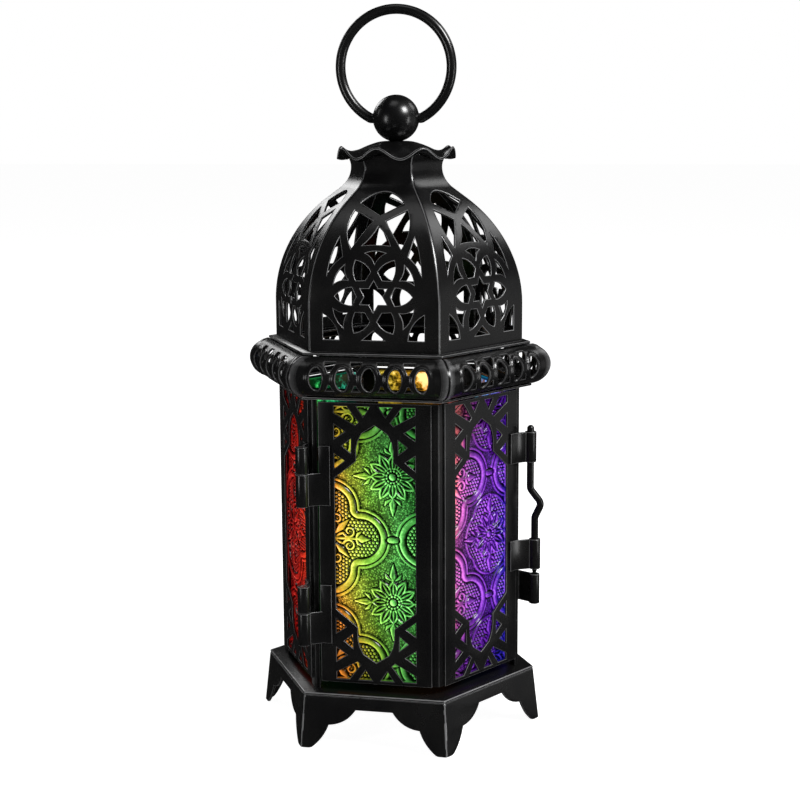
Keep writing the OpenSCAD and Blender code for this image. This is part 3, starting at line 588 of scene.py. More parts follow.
def collars():
    pitch = 2 * (TUBE_A * TAN30 - OVALS_END) / OVALS
    edge = TUBE_R * math.radians(TUBE_TURN)
    wide = (TUBE_A + TUBE_R) * TAN30 + 1
    outline = [(-wide, -edge), (wide, -edge), (wide, edge), (-wide, edge)]
    cuts = [[(x, TUBE_R * math.asin(max(-1, min(1, y / TUBE_R)))) for x, y in hole]
            for hole in collar_holes(pitch)]
    tube = flat_sheet("collar", outline, cuts, TUBE_SHEET, 0.26, wear_and_sheen=0.15)
    slice_sheet(tube, [TUBE_R * math.radians(a) for a in range(4 - TUBE_TURN, TUBE_TURN, 4)],
                np.arange(-OVALS / 2 * pitch, OVALS / 2 * pitch, 0.5))
    co = points_of(tube)
    # A ring stands up round each oval; between the rings the sheet is pressed in a little
    from_oval = distance_to(cuts[:OVALS], co[:, 0], co[:, 1])
    ring = dome_bump(from_oval - BAND_FACE, 0.8)
    pressed = np.clip((2 * pitch + 5.4 - np.abs(co[:, 0])) / 1.2, 0, 1)
    fall = PRESSED_IN * (1 - ring) * pressed * pressed * (3 - 2 * pressed)
    angle = co[:, 1] / TUBE_R
    reach = TUBE_R - TUBE_SHEET / 2 + co[:, 2] - fall
    out, z = TUBE_A + reach * np.cos(angle), TUBE_Z + reach * np.sin(angle)
    set_points(tube, np.stack([co[:, 0], -out, z], 1))
    weld(tube)
    mitre(tube, MITRE_CUTS)
    # Rubbed paint and a painted sheen beside each mitre, fading away from the seam
    for far, wear_and_sheen in MITRE_SHEEN_AND_WEAR:
        mark_wear_and_sheen(tube, wear_and_sheen * (near_mitre(tube, far) & ~near_mitre(tube, MITRE_CUTS[1])))
    on_all_sides(tube, "collar", soften_mitre(side_points(tube), 1.0, 0.5), 40)


def soften_mitre(flat, run, depth):
    """Draws the tube in a little at its mitres, as a dressed solder seam."""
    s, a, z = flat[:, 0], flat[:, 1], flat[:, 2]
    u = np.clip((a * TAN30 - np.abs(s)) * COS30, 0, None)
    pull = depth * np.clip(1 - u / run, 0, 1) ** 2
    da, dz = a - TUBE_A, z - TUBE_Z
    size = np.maximum(np.hypot(da, dz), 1e-6)
    out = flat.copy()
    out[:, 2] = z - pull * dz / size
    new_a = a - pull * da / size
    out[:, 1] = new_a
    out[:, 0] = np.where(u < 1e-3, np.sign(s) * new_a * TAN30, s)
    return out


# Dome: six pierced gores

WALL_H, SLOPE_L, LIP_L = 13.3, 5.4, 2.4
CURVE_R, CURVE_TURN = 48.5, math.radians(50)
FLARE_R, FLARE_TURN = 6.5, math.radians(35)
NECK_R = 9.5
CURVE_L, NECK_L, FLARE_L = CURVE_R * CURVE_TURN, NECK_R * CURVE_TURN, FLARE_R * FLARE_TURN
SLOPE_FROM = WALL_H + CURVE_L
NECK_FROM = SLOPE_FROM + SLOPE_L
FLARE_FROM = NECK_FROM + NECK_L
LIP_FROM = FLARE_FROM + FLARE_L
DOME_SHEET = 0.8
UNDER_CROWN_Z, CROWN_GAP = 201.5, 0.25


def dome_profile(l):
    """Distance from the axis, height and lean at a length up the dome's face."""
    l = np.asarray(l, float)
    t1 = np.clip(l - WALL_H, 0, CURVE_L) / CURVE_R
    a = DOME_A - CURVE_R * (1 - np.cos(t1))
    z = DOME_Z + np.clip(l, 0, WALL_H) + CURVE_R * np.sin(t1)
    along = np.clip(l - SLOPE_FROM, 0, SLOPE_L)
    a, z = a - along * math.sin(CURVE_TURN), z + along * math.cos(CURVE_TURN)
    turned = np.clip(l - NECK_FROM, 0, NECK_L) / NECK_R
    t2 = CURVE_TURN - turned
    a = a - NECK_R * (np.cos(t2) - math.cos(CURVE_TURN))
    z = z + NECK_R * (math.sin(CURVE_TURN) - np.sin(t2))
    t3 = np.clip(l - FLARE_FROM, 0, FLARE_L) / FLARE_R
    a, z = a + FLARE_R * (1 - np.cos(t3)), z + FLARE_R * np.sin(t3)
    last = np.clip(l - LIP_FROM, 0, None)
    a, z = a + last * math.sin(FLARE_TURN), z + last * math.cos(FLARE_TURN)
    return a, z, t1 - turned - t3


def rosette_holes():
    """The pierced pattern of a gore, as s and length up its face."""
    across, up = (DOME_A * TAN30 - 5.2) / 17.5, 1.07
    middle, low = 19.15, 4.4 - 19.15
    star_r, petal_in, petal_tip, ring_in, ring_out = 5.3, 5.95, 13.35, 14.4, 18.3

    def turned(points, degrees):
        c, s = math.cos(math.radians(degrees)), math.sin(math.radians(degrees))
        return [(x * c - y * s, x * s + y * c) for x, y in points]

    def polar(r, degrees):
        return turned([(r, 0)], degrees)[0]

    star = [polar(star_r if i % 2 == 0 else star_r / math.sqrt(3), 30 + 30 * i) for i in range(12)]
    wide, tip = (petal_in + 1.5, 2.85), (petal_tip, 0)
    petal = ([(petal_in, 0)] + arc((wide[0], -wide[1]), tip, 0.76, 6) + arc(tip, wide, 0.76, 6)
             + [wide])
    corner, right, left = (petal_in + 4.45, 0), polar(ring_in, -14), polar(ring_in, 14)
    between = arc(corner, right, -0.5, 6) + arc(right, left, 0.7, 6) + arc(left, corner, -0.5, 6)
    holes = [[(x * across, y) for x, y in star]]
    for i in range(6):
        holes.append([(x * across, y * up) for x, y in turned(petal, 60 * i)])
    for i in (0, 1, 2, 3, 5):
        holes.append([(x * across, y * up) for x, y in turned(between, 30 + 60 * i)])
    middle_ones = [
        [(0, -11.6), (-3.8, low), (3.8, low)],
        (arc((0, 25.1), (-4.8, 17.7), -0.5, 6) + arc((-4.8, 17.7), (4.8, 17.7), -0.3, 6)
         + arc((4.8, 17.7), (0, 25.1), 0.5, 6)),
        [(0, 29.6)] + arc((7.65, 35.2), (-7.65, 35.2), 5.8, 16) + [(-7.65, 35.2)]]
    paired = [
        arc((ring_out * 0.655, low), (17.5, -6), -1.4, 10) + [(17.5, -6), (17.5, low)],
        (arc((ring_out * 0.62, 13.7), (16.2, 7.6), -0.5, 6) + arc((16.2, 7.6), (13, 20.8), 0.5, 6)
         + [(13, 20.8)]),
        [(2.2, 27.3)] + arc((8.7, 16.5), (9.2, 32), 1.7, 10) + [(9.2, 32)]]
    holes += [[(x * across, y) for x, y in shape] for shape in middle_ones]
    holes += [[(hand * x * across, y) for x, y in shape] for shape in paired for hand in (-1, 1)]
    return [[(x, y + middle) for x, y in hole] for hole in holes]


def gores():
    top = LIP_FROM + LIP_L
    ls = np.linspace(0, top, 50)
    edge = dome_profile(ls)[0] * TAN30 + 1.0
    outline = [(e, l) for e, l in zip(edge, ls)] + [(-e, l) for e, l in zip(edge[::-1], ls[::-1])]
    gore = flat_sheet("gore", outline, rosette_holes(), DOME_SHEET, 0.2)
    bends = [*np.arange(WALL_H, SLOPE_FROM, 0.9), *np.arange(SLOPE_FROM, top, 0.55)]
    slice_sheet(gore, bends, np.arange(-22, 23, 2.0))
    co = points_of(gore)
    a, z, lean = dome_profile(co[:, 1])
    deep = DOME_SHEET / 2 - co[:, 2]
    out, z = a - deep * np.cos(lean), z - deep * np.sin(lean)
    set_points(gore, np.stack([co[:, 0], -out, z], 1))
    weld(gore)
    mitre(gore, (0.2, 0.5, 0.85))
    # Rubbed paint and a painted sheen along the seams between the gores
    mark_wear_and_sheen(gore, near_mitre(gore, 0.2) * 0.4)
    on_all_sides(gore, "gore", round_corners(side_points(gore), 1.5), 40, fit=under_crown)


def under_crown(co):
    """Trims a gore's upper edge to the underside of the crown."""
    share = np.hypot(co[:, 0], co[:, 1]) / CROWN_R
    direction = np.degrees(np.arctan2(co[:, 1], co[:, 0]))
    under = crown_height(share, direction) - CROWN_SHEET - CROWN_GAP
    co[:, 2] = np.where(co[:, 2] > UNDER_CROWN_Z, np.minimum(co[:, 2], under), co[:, 2])
    return co


# Crown, ball, ring

CROWN_R, CROWN_SHEET, CROWN_DROP = 20.9, 0.8, 3.5
WAVES, WAVE_H, WAVE_FROM = 8, 3.7, -97
CROWN_FALL = [(0, 0), (0.19, 0), (0.29, 0.09), (0.43, 0.34), (0.58, 0.66),
              (0.72, 1), (0.84, 1.25), (0.93, 1.2), (1, 1)]
CROWN_WAVE = [(0, 0), (0.58, 0), (0.72, 0.2), (0.84, 0.55), (0.93, 0.8), (1, 1)]


def flowing(u, table):
    """Values of a table read along a smooth curve through its points."""
    x, y = np.array(table, float).T
    slope = np.gradient(y, x)
    i = np.clip(np.searchsorted(x, u) - 1, 0, len(x) - 2)
    h = x[i + 1] - x[i]
    t = np.clip((u - x[i]) / h, 0, 1)
    return ((1 + 2 * t) * (1 - t) ** 2 * y[i] + t * (1 - t) ** 2 * h * slope[i]
            + t * t * (3 - 2 * t) * y[i + 1] + t * t * (t - 1) * h * slope[i + 1])


def crown_height(u, direction):
    u = np.clip(u, 0, 1)
    return (BALL_FOOT_Z - CROWN_DROP * flowing(u, CROWN_FALL)
            + WAVE_H / 2 * flowing(u, CROWN_WAVE) * np.cos(WAVES * np.radians(direction - WAVE_FROM)))


def crown():
    shares = [0.075] + list(np.linspace(0.12, 1.0, 34))
    bpy.ops.mesh.primitive_circle_add(vertices=160, radius=CROWN_R * shares[0], fill_type="NOTHING")
    piece = bpy.context.active_object
    edit(piece, whole=True)
    for before, share in zip(shares, shares[1:]):
        bpy.ops.mesh.extrude_edges_move()
        bpy.ops.transform.resize(value=(share / before, share / before, 1))
    leave()
    co = points_of(piece)
    u = np.hypot(co[:, 0], co[:, 1]) / CROWN_R
    co[:, 2] = crown_height(u, np.degrees(np.arctan2(co[:, 1], co[:, 0])))
    set_points(piece, co)
    weld(piece)
    if sum(p.normal.z for p in piece.data.polygons) < 0:
        piece.data.flip_normals()
    use_modifier(piece, "SOLIDIFY", thickness=CROWN_SHEET, offset=-1)
    bevelled(piece, 0.22, segments=3, angle=55, wear_and_sheen=0.6)
    weld(piece)
    finish_piece(piece, "crown", 45)


def wire(name, path, radii, sides):
    """A round wire along a path of points, with a radius at each."""
    curve = bpy.data.curves.new(name, "CURVE")
    curve.dimensions = "3D"
    curve.bevel_depth = 1
    curve.bevel_resolution = sides // 4 - 1
    curve.use_fill_caps = True
    spline = curve.splines.new("POLY")
    spline.points.add(len(path) - 1)
    for point, place, radius in zip(spline.points, path, radii):
        point.co = (*place, 1)
        point.radius = radius
    return meshed(curve)


def rounded_path(corners, radius, step=0.25):
    """A path through corners, each bend a circle's arc of the given radius."""
    corners = [Vector(c) for c in corners]
    path = [corners[0]]
    for before, here, after in zip(corners, corners[1:], corners[2:]):
        come, go = (here - before).normalized(), (after - here).normalized()
        turn = come.angle(go)
        start = here - come * radius * math.tan(turn / 2)
        inward = (go - come * come.dot(go)).normalized()
        count = max(3, round(radius * turn / step))
        for i in range(count + 1):
            t = turn * i / count
            path.append(start + come * radius * math.sin(t) + inward * radius * (1 - math.cos(t)))
    return path + [corners[-1]]


def carrying_ring():
    dip = math.asin((RING_Z - BALL_Z) / RING_R)
    foot, in_ball, end_bend = RING_R * math.cos(dip), 4.5, 1.0
    turns = np.linspace(-dip, math.pi + dip, 151)
    path = [(RING_R * math.cos(t), 0, RING_Z + RING_R * math.sin(t)) for t in turns]
    ends = []
    for hand, up in ((1, path[3]), (-1, path[-4])):
        corners = [(hand * (foot - in_ball), 0, BALL_Z), (hand * foot, 0, BALL_Z), up]
        ends.append([tuple(p) for p in rounded_path(corners, end_bend, 0.2)])
    whole = ends[0] + path[4:-4] + ends[1][::-1]
    piece = wire("carrying_ring", whole, [RING_WIRE / 2] * len(whole), 32)
    finish_piece(piece, "carrying_ring", 50, "ring")


def ball():
    bpy.ops.mesh.primitive_uv_sphere_add(segments=96, ring_count=64, radius=BALL_R, location=(0, 0, BALL_Z))
    piece = bpy.context.active_object
    bpy.ops.object.transform_apply(location=True, rotation=True, scale=True)
    edit(piece)
    cut((0, 0, BALL_FOOT_Z), (0, 0, 1), threshold=1e-4, clear_inner=True, use_fill=True)
    leave()
    bpy.ops.mesh.primitive_cylinder_add(vertices=48, radius=RING_WIRE / 2 + BORE_PLAY, depth=3 * BALL_R,
                                        location=(0, 0, BALL_Z), rotation=(0, math.pi / 2, 0))
    drill = bpy.context.active_object
    use_modifier(piece, "BOOLEAN", operation="DIFFERENCE", object=drill, solver="EXACT")
    bpy.data.objects.remove(drill)
    use_modifier(piece, "BEVEL", width=0.14, segments=3, limit_method="ANGLE", angle_limit=math.radians(40))
    weld(piece)
    finish_piece(piece, "ball", 40)


def drop_bolt():
    """Bolt wire with a finger bend, a rounded upper end and a pointed tip."""
    top, tip, bend_z, bend_h = 109.4, 55.0, 80.8, 5.2
    upper_x, bend_x, lower_x = 48.5, 52.6, 50.2
    r = 1.3
    corners = [(upper_x, 0, top - r), (upper_x, 0, bend_z + bend_h), (bend_x, 0, bend_z),
               (lower_x, 0, bend_z - bend_h), (lower_x, 0, tip + 3)]
    path = [tuple(p) for p in rounded_path(corners, 2.7)]
    slopes = [math.radians(a) for a in (88, 75, 60, 45, 30, 15)]
    end = [((upper_x, 0, top - r + r * math.sin(a)), r * math.cos(a)) for a in slopes]
    tapered = ((1.6, 0.8), (0.45, 0.6), (0.1, 0.5), (0, 0.2))
    point = [((lower_x, 0, tip + up), r * share) for up, share in tapered]
    whole = end + [(place, r) for place in path] + point
    piece = wire("drop_bolt", [place for place, _ in whole], [radius for _, radius in whole], 24)
    finish_piece(piece, "drop_bolt", 50, "bolt")


# Base

def skirt():
    """Six leaning sides with scalloped arches between the feet, joined at the corners."""
    lean = math.atan((BASE_FOOT_R - BASE_R) * COS30 / BASE_H)
    tall = (BASE_H - BASE_SHEET) / math.cos(lean)
    foot_a = BASE_FOOT_R * COS30
    wide = BASE_FOOT_R / 2 + 1
    toe, notch, level, notch_h, arch_h = BASE_FOOT_R / 2 - 3.6, BASE_FOOT_R / 2 - 9.9, 6.6, 8.6, 14.4
    half = ([(toe + 1.0, 0), (toe + 0.35, 0.06), (toe - 0.25, 0.26)]
            + arc((toe, 0), (notch, notch_h), -0.8, 14)[1:]
            + arc((notch, notch_h), (level, arch_h), -1.4, 14) + [(level, arch_h)])
    outline = ([(wide, 0)] + half + [(-s, z) for s, z in half[::-1]]
               + [(-wide, 0), (-wide, tall), (wide, tall)])
    sheet = flat_sheet("skirt", outline, [], BASE_SHEET, 0.3, 3, wear_and_sheen=0.12)
    slice_sheet(sheet, [3, 6, 9, 12, 15])
    co = points_of(sheet)
    deep = BASE_SHEET / 2 - co[:, 2]
    a = foot_a - co[:, 1] * math.sin(lean) - deep * math.cos(lean)
    z = np.clip(co[:, 1] * math.cos(lean) - deep * math.sin(lean), 0, BASE_H - BASE_SHEET)
    set_points(sheet, np.stack([co[:, 0], -a, z], 1))
    mitre(sheet, (0.2, 0.4, 0.6))
    # Rubbed paint and a painted highlight along the skirt's corners
    mark_wear_and_sheen(sheet, near_mitre(sheet, 0.3) * 0.9)
    flat = round_corners(side_points(sheet), 1.1)
    parts = [copy_of(sheet, f"skirt_{k}") for k in range(6)]
    bpy.data.objects.remove(sheet)
    for k, part in enumerate(parts):
        set_points(part, turn_to_side(flat, k))
        weld(part)
    take(parts[0])
    for part in parts[1:]:
        part.select_set(True)
    bpy.ops.object.join()
    piece = bpy.context.active_object
    drop_seams(piece)
    finish_piece(piece, "base_skirt", 40)


def drop_seams(piece):
    """Deletes the faces that lie in the corner planes and joins the sides there."""
    mesh = edit(piece)
    mesh.faces.ensure_lookup_table()
    for face in mesh.faces:
        n, c = face.normal, face.calc_center_median()
        upright = abs(n.z) < 0.01 and face.calc_area() > 0.5
        across = abs(n.x * c.x + n.y * c.y) < 0.02 * math.hypot(c.x, c.y)
        turn = (math.degrees(math.atan2(c.y, c.x)) + 360) % 60
        if upright and across and min(turn, 60 - turn) < 0.2:
            face.select_set(True)
    bmesh.update_edit_mesh(piece.data)
    bpy.ops.mesh.delete(type="ONLY_FACE")
    leave()
    weld(piece, 0.01)


def edged(node, body, width, wear_and_sheen, slot="black_metal", segments=2):
    """A node's own shape with its sharp edges rounded as bent and tumbled sheet has them."""
    piece = copy_of(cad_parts[node], node + "_edged")
    weld(piece, 1e-7)
    edit(piece, whole=True)
    bpy.ops.mesh.dissolve_limited(angle_limit=math.radians(1.0))
    leave()
    bevelled(piece, width * MM, segments, angle=35, wear_and_sheen=wear_and_sheen)
    stand_for(piece, node, body, slot)


# Pressed glass

LATTICE, RELIEF, TOP_H = 44.6, 1.15, 1.08
PANE_STEP, PANE_RIM = 0.24, 0.8


def folded(values):
    return (values + LATTICE / 2) % LATTICE - LATTICE / 2


def along(x, y, stroke):
    """Rounded relief of a drawn stroke, given as points with a half width at each."""
    best = np.zeros_like(x)
    for (x0, y0, w0), (x1, y1, w1) in zip(stroke, stroke[1:]):
        dx, dy = x1 - x0, y1 - y0
        t = np.clip(((x - x0) * dx + (y - y0) * dy) / (dx * dx + dy * dy), 0, 1)
        d = np.hypot(x - x0 - t * dx, y - y0 - t * dy)
        best = np.maximum(best, dome_bump(d, w0 + (w1 - w0) * t))
    return best


def drawn(x, y, strokes, margin):
    """Height of strokes given with how tall they stand, and the ground cleared round them."""
    height, clear = np.zeros_like(x), np.zeros_like(x)
    for stroke, tall in strokes:
        height = np.maximum(height, tall * along(x, y, stroke))
        clear = np.maximum(clear, along(x, y, [(px, py, w + margin) for px, py, w in stroke]))
    return height, clear


def coil(cx, cy, r0, r1, from_deg, to_deg, w, count=14):
    """A stroke that curls round a point and grows thinner."""
    made = []
    for t in np.linspace(0, 1, count + 1):
        a = math.radians(from_deg + (to_deg - from_deg) * t)
        r = r0 + (r1 - r0) * t
        made.append((cx + r * math.cos(a), cy + r * math.sin(a), w * (1 - 0.35 * t)))
    return made


def beads(x, y, wide, high, radius):
    """Rows of round beads, every other row set half a bead aside."""
    row = np.round(y / high)
    place = x / wide + 0.5 * (row % 2)
    return dome_bump(np.hypot((place - np.round(place)) * wide, y - row * high), radius)


def quatrefoil(x, y):
    """Moulded frame of four lobes, bead ground and the flowering cross inside it: its height
    and the distance inside the frame's outline."""
    x, y = np.abs(x), np.abs(y)
    swap = y > x
    x, y = np.where(swap, y, x), np.where(swap, x, y)
    lobe, reach, cusp = 10.8, 10.5, 10.5
    inside_arc = np.degrees(np.arctan2(y, x - lobe)) < 92
    depth = np.where(inside_arc, reach - np.hypot(x - lobe, y), np.hypot(x - cusp, y - cusp))
    height = 0.36 + 0.36 * dome_bump(depth - 0.3, 0.5)
    inner = depth > 0.8
    height = np.where(inner, 0.10, height)
    height = np.maximum(height, np.where(inner, 0.02 + dome_bump(depth - 2.2, 1.2), 0))
    ground = depth > 3.95
    height = np.where(ground, 0.1 + 0.66 * beads(x, y, 1.34, 1.16, 0.6), height)
    # The cross: stems, buds, side leaves and curls, and leaves on the diagonals
    strokes = [
        ([(0, 0, 0.9), (3.0, 0, 0.5), (6.2, 0, 0.62), (9.4, 0, 0.42)], 0.75),
        ([(9.6, 0, 0.3), (11.3, 0, 1.45), (12.6, 0, 0.95), (14.6, 0, 0.05)], 0.95),
        ([(9.3, 0.2, 0.4), (9.9, 1.6, 0.62), (11.2, 2.6, 0.15)], 0.7),
        (coil(6.9, 2.5, 2.2, 0.75, -150, 250, 0.46), 0.8),
        ([(2.0, 1.9, 0.3), (4.1, 4.0, 1.15), (5.4, 5.3, 0.7), (6.9, 6.8, 0.05)], 0.85),
        ([(1.8, 0.4, 0.3), (3.6, 1.5, 0.5), (5.0, 2.0, 0.3)], 0.6)]
    raised, clear = drawn(x, y, strokes, 0.35)
    centre = np.hypot(x, y)
    boss = np.maximum(dome_bump(centre, 1.3), 0.75 * dome_bump(centre - 1.9, 0.35))
    raised = np.maximum(raised, boss)
    clear = np.maximum(clear, (centre < 2.5).astype(float))
    height = np.where(ground & (clear > 0), 0.10, height)
    height = np.maximum(height, np.where(depth > 3.4, 0.12 + raised * 0.95, 0))
    return height, depth


def flower(x, y):
    """Bead heart, looped petals and pointed leaves on the axes: height and cleared ground."""
    r, bearing = np.hypot(x, y), np.degrees(np.arctan2(y, x))
    leaf = np.minimum(bearing % 90, 90 - bearing % 90)
    lx, ly = r * np.cos(np.radians(leaf)), r * np.sin(np.radians(leaf))
    # A pointed leaf with a keel, and its wings
    point = [(7.6, 0, 0.3), (9.6, 0, 1.35), (11.4, 0, 0.95), (14.0, 0, 0.05)]
    wings = [(7.9, 0.7, 0.25), (8.9, 2.2, 0.65), (10.3, 3.0, 0.1)]
    height, clear = drawn(lx, ly, ((point, 1.0), (wings, 0.7)), 0.3)
    height = np.where((ly < 0.16) & (lx > 8.4) & (lx < 12.6), height * 0.72, height)
    # Twelve looped petals of two lengths
    turn = (bearing + 15) % 30 - 15
    long = (np.round((bearing + 15) // 30) % 3) != 0
    px, py = r * np.cos(np.radians(turn)), np.abs(r * np.sin(np.radians(turn)))
    end = np.where(long, 8.6, 7.4)
    span = np.clip((px - 2.6) / (end - 2.6), 0, 1)
    half = 1.5 * np.sin(np.pi * span ** 0.75) ** 0.8
    in_petal = (px > 2.6) & (px < end + 0.3)
    edge = np.where(in_petal, np.abs(py - half), 9)
    clear = np.where(in_petal & (py < half + 0.45), 1, clear)
    blade = np.where(in_petal & (py < half), 0.18 + 0.42 * dome_bump(py, 0.32), 0)
    height = np.maximum(height, np.maximum(0.95 * dome_bump(edge, 0.46), blade))
    # Heart: a bead in a ring of small beads
    ring_r, heart_r = 2.15, 2.8
    around = np.radians(bearing % 30 - 15) * ring_r
    heart = np.maximum(dome_bump(r, 1.35), 0.8 * dome_bump(np.hypot(r - ring_r, around), 0.5))
    clear = np.maximum(clear, (r < heart_r).astype(float))
    return np.where(r < heart_r, heart, height), clear


def glass_relief(s, z, beaded):
    """Height of the pressed pattern, from 0 in the grooves to about 1 on the ridges."""
    height, depth = quatrefoil(folded(s), folded(z))
    fx, fy = folded(s + LATTICE / 2), folded(z + LATTICE / 2)
    bloom, clear = flower(fx, fy)
    outside = depth < -0.25
    if beaded:
        # A field of beads with a rim round it lies under each flower
        field = np.minimum(np.hypot(np.abs(fx) - 3.5, fy), np.hypot(fx, np.abs(fy) - 5.0))
        field_r, rim_r = 8.6, 9.2
        dots = 0.1 + 0.7 * beads(fx, fy, 1.4, 1.2, 0.62)
        height = np.where(outside & (field < field_r), dots, height)
        height = np.maximum(height, np.where(outside, 0.8 * dome_bump(field - rim_r, 0.6), 0))
    height = np.where(outside & (clear > 0), 0.06, height)
    height = np.maximum(height, np.where(outside, 0.06 + bloom, 0))
    # Small clasps where the frames touch
    for cx, cy in ((LATTICE / 2, 0), (0, LATTICE / 2)):
        ux, uy = np.abs(folded(s - cx)), np.abs(folded(z - cy))
        ux, uy = (ux, uy) if cx else (uy, ux)
        clasp = dome_bump(np.hypot(ux / 2.2, uy / 1.15), 1.0)
        ring = (np.hypot(ux / 2.7, uy / 1.6) < 1) & (clasp <= 0)
        height = np.where(ring, np.minimum(height, 0.12), height)
        height = np.maximum(height, clasp * 1.05)
    return height


def painted_light_and_shade(height, order, wide):
    """Painted light and shade of the relief: ridges painted brighter, grooves painted in shade, and
    a painted light that comes from below and to the left."""
    rows = height[order].reshape(-1, wide)

    def blurred(values, reach):
        for axis in (0, 1):
            values = sum(np.roll(values, i, axis) for i in range(-reach, reach + 1)) / (2 * reach + 1)
        return values

    soft = blurred(rows, 1)
    slope_z, slope_s = [(np.roll(soft, -1, axis) - np.roll(soft, 1, axis)) / (2 * PANE_STEP)
                        for axis in (0, 1)]
    raised = rows - blurred(blurred(rows, 2), 2)
    made = (0.58 + 0.35 * np.clip(raised, 0, 0.5) + 1.5 * np.clip(raised, -0.4, 0)
            + 0.36 * np.clip(0.75 * slope_s + 0.5 * slope_z, -1.5, 1.5))
    lit = np.empty_like(height)
    lit[order] = np.clip(made, 0, 1.1).ravel()
    return lit


def pane(k, slot, s0, z0, beaded=False):
    """A slab of glass whose face is pressed with the pattern, centred at s0 and z0."""
    tall = PANE_HIGH - PANE_LOW
    nx, nz = round(PANE_W / PANE_STEP), round(tall / PANE_STEP)
    bpy.ops.mesh.primitive_grid_add(x_subdivisions=nx, y_subdivisions=nz, size=1, calc_uvs=False)
    piece = bpy.context.active_object
    co = points_of(piece)
    s, z = co[:, 0] * PANE_W, (co[:, 1] + 0.5) * tall + PANE_LOW
    height = glass_relief(s - s0, z - z0, beaded)
    wave = 0.05 * np.sin(s * 0.9 + 1.3 * k) * np.cos(z * 0.55 + k)
    rim = np.minimum(PANE_W / 2 - np.abs(s), tall / 2 - np.abs(z - (PANE_HIGH + PANE_LOW) / 2))
    height = np.clip(height + wave, 0, TOP_H)
    height = np.where(rim < PANE_RIM, 1.0, height)
    out = BACK_A - 0.04 - (TOP_H - height) * RELIEF
    set_points(piece, np.stack([s, -out, z], 1))
    lit = painted_light_and_shade(height, np.lexsort((s, z)), nx + 1)
    add_pane_back(piece)
    mark_pane(piece, height, lit)
    set_points(piece, turn_to_side(side_points(piece), k))
    finish_piece(piece, SIDES[k] + "_pane", 50, body_of_side(k), slot)


def add_pane_back(piece):
    """Gives the pressed face its edges and a flat back."""
    edit(piece, whole=True)
    bpy.ops.mesh.region_to_loop()
    bpy.ops.mesh.extrude_edges_move(TRANSFORM_OT_translate={"value": (0, 0, 0)})
    leave()
    bare = np.array([v.select for v in piece.data.vertices])
    co = points_of(piece)
    co[bare, 1] = -(BACK_A - PANE_T)
    set_points(piece, co)
    mesh = edit(piece)
    for vert in mesh.verts:
        vert.select_set(abs(vert.co.y + BACK_A - PANE_T) < 1e-4)
    mesh.select_flush(True)
    bmesh.update_edit_mesh(piece.data)
    bpy.ops.mesh.edge_face_add()
    bpy.ops.mesh.select_all(action="SELECT")
    bpy.ops.mesh.normals_make_consistent(inside=False)
    leave()


def mark_pane(piece, height, lit):
    """Gives the glass its relief and its painted light and shade as attributes, with -1 as the back's
    relief, and a UV map across the pane and up it."""
    added = len(piece.data.vertices) - len(height)
    for name, values, back in (("relief", height, -1), ("lit", lit, 0.5)):
        attribute = piece.data.attributes.new(name, "FLOAT", "POINT")
        values = np.concatenate([values, np.full(added, back)])
        attribute.data.foreach_set("value", values.astype(np.float32))
    co = points_of(piece)
    corner = np.empty(len(piece.data.loops), np.int32)
    piece.data.loops.foreach_get("vertex_index", corner)
    uv = np.stack([co[corner, 0] / PANE_W + 0.5,
                   (co[corner, 2] - PANE_LOW) / (PANE_HIGH - PANE_LOW)], 1)
    layer = piece.data.uv_layers.new(name="pane")
    layer.data.foreach_set("uv", uv.astype(np.float32).ravel())


# Putting the lantern together

pierced_plates()
collars()
gores()
crown()
ball()
carrying_ring()
drop_bolt()
skirt()
pane(0, "green_glass", -16.3, 74.5)
pane(1, "violet_glass", -16.3, 94.5, beaded=True)
pane(2, "blue_glass", 8, 70)
pane(3, "amber_glass", -12, 78)
pane(4, "teal_glass", 14, 66)
pane(5, "red_glass", -6, 72)

edged("base_top", "lantern", 0.35, wear_and_sheen=0.9, segments=3)
for body, width, wear_and_sheen, nodes in (
        ("lantern", 0.28, 0.06, "hinge_post latch_post back_right_post back_left_post left_post"),
        ("door", 0.28, 0.06, "door_post door_hinge_stile door_latch_stile"),
        ("lantern", 0.25, 0.4, "lower_seat upper_seat"),
        ("lantern", 0.16, 0.4, "candle_cup pane_clips bolt_keeper"),
        ("lantern", 0.16, 0.4, "upper_hinge_frame_leaf lower_hinge_frame_leaf"),
        ("door", 0.16, 0.4, "door_pane_clips upper_hinge_door_leaf lower_hinge_door_leaf"),
        ("door", 0.16, 0.4, "upper_bolt_bracket lower_bolt_bracket"),
        ("lantern", 0.2, 0.4, "cup_rivet")):
    for node in nodes.split():
        edged(node, body, width, wear_and_sheen)
for node in ("ball_stud", "stud_nut", "upper_hinge_pin", "lower_hinge_pin"):
    edged(node, "lantern", 0.16, wear_and_sheen=0.4, slot="plain_steel")


# Studio: white floor and background, soft boxes, and the camera

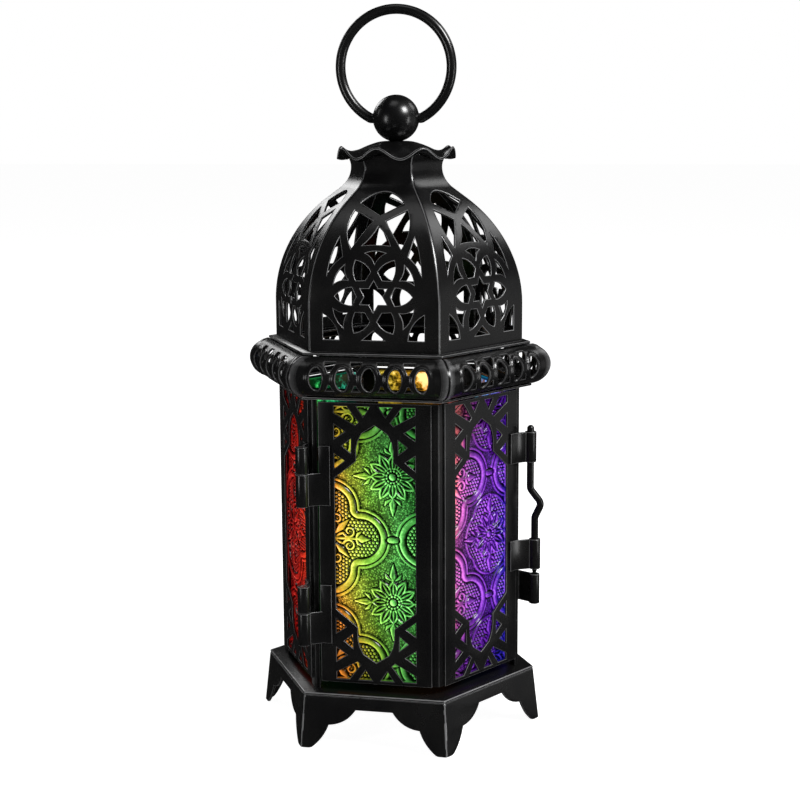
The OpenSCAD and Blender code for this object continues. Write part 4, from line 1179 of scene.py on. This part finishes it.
def white_room():
    """A white background and floor, which light the lantern only a little."""
    world = bpy.data.worlds.new("studio")
    bpy.context.scene.world = world
    world.use_nodes = True
    tree = world.node_tree
    tree.nodes.clear()
    output = tree.nodes.new("ShaderNodeOutputWorld")
    background = tree.nodes.new("ShaderNodeBackground")
    background.inputs["Color"].default_value = (1, 1, 1, 1)
    ray = Shade(tree).node("LightPath", out="Is Camera Ray")
    tree.links.new((ray * 0.98 + 0.02).socket, background.inputs["Strength"])
    tree.links.new(background.outputs[0], output.inputs[0])

    bpy.ops.mesh.primitive_plane_add(size=12, location=(0, 0, -0.0004))
    floor = bpy.context.active_object
    floor.name = "floor"
    material, _, shader = new_material("studio_floor")
    give(shader, Base_Color=(0.6, 0.6, 0.6, 1), Roughness=0.9,
         Emission_Color=(1, 1, 1, 1), Emission_Strength=0.97)
    floor.data.materials.append(material)
    floor.visible_glossy = False
    floor.visible_shadow = False


def soft_box(name, away, round_from_x, up, width, height, power):
    """A soft box aimed at the lantern, placed by its direction in degrees."""
    turn, rise = math.radians(round_from_x), math.radians(up)
    aim = Vector((0, 0, 0.12))
    level = Vector((math.cos(turn), math.sin(turn), 0))
    place = aim + away * (level * math.cos(rise) + Vector((0, 0, math.sin(rise))))
    light = bpy.data.lights.new(name, "AREA")
    light.shape = "RECTANGLE"
    light.size, light.size_y = width, height
    light.energy = power
    lamp = added(name, light)
    lamp.location = place
    lamp.rotation_euler = (aim - place).to_track_quat("-Z", "Y").to_euler()


def front_camera():
    """A camera before the door's corner, by its heading, dip and roll in radians."""
    camera = added("camera", bpy.data.cameras.new("camera"))
    heading, dip, roll = 0.2090, 0.1716, 0.0065
    away, high = 0.600, 0.2215
    turned = Matrix.Rotation(heading, 4, "Z") @ Matrix.Rotation(math.pi / 2 - dip, 4, "X")
    place = Matrix.Translation((math.sin(heading) * away, -math.cos(heading) * away, high))
    camera.matrix_world = place @ turned @ Matrix.Rotation(-roll, 4, "Z")
    camera.data.sensor_width = 36
    camera.data.lens = 75.56
    camera.data.shift_x = 0.002675
    camera.data.clip_start = 0.01
    scene = bpy.context.scene
    scene.camera = camera
    scene.view_settings.view_transform = "Standard"
    scene.view_settings.look = "None"


white_room()
soft_box("key_box", 0.97, -24.5, 43, 0.32, 0.32, 13)
soft_box("right_strip", 0.9, -13, -2, 0.1, 0.4, 1.2)
soft_box("front_strip", 0.9, -129, 2, 0.12, 0.36, 1.3)
soft_box("right_back_box", 0.95, 40, 38, 0.3, 0.3, 0.9)
soft_box("right_fill", 0.95, 18, -4, 0.6, 0.5, 0.26)
soft_box("left_back_box", 0.95, 130, 27, 0.3, 0.3, 1.2)
soft_box("top_box", 0.95, 250, 78, 0.4, 0.4, 0.6)
soft_box("left_strip", 0.9, 178, 26, 0.05, 0.3, 0.15)
front_camera()
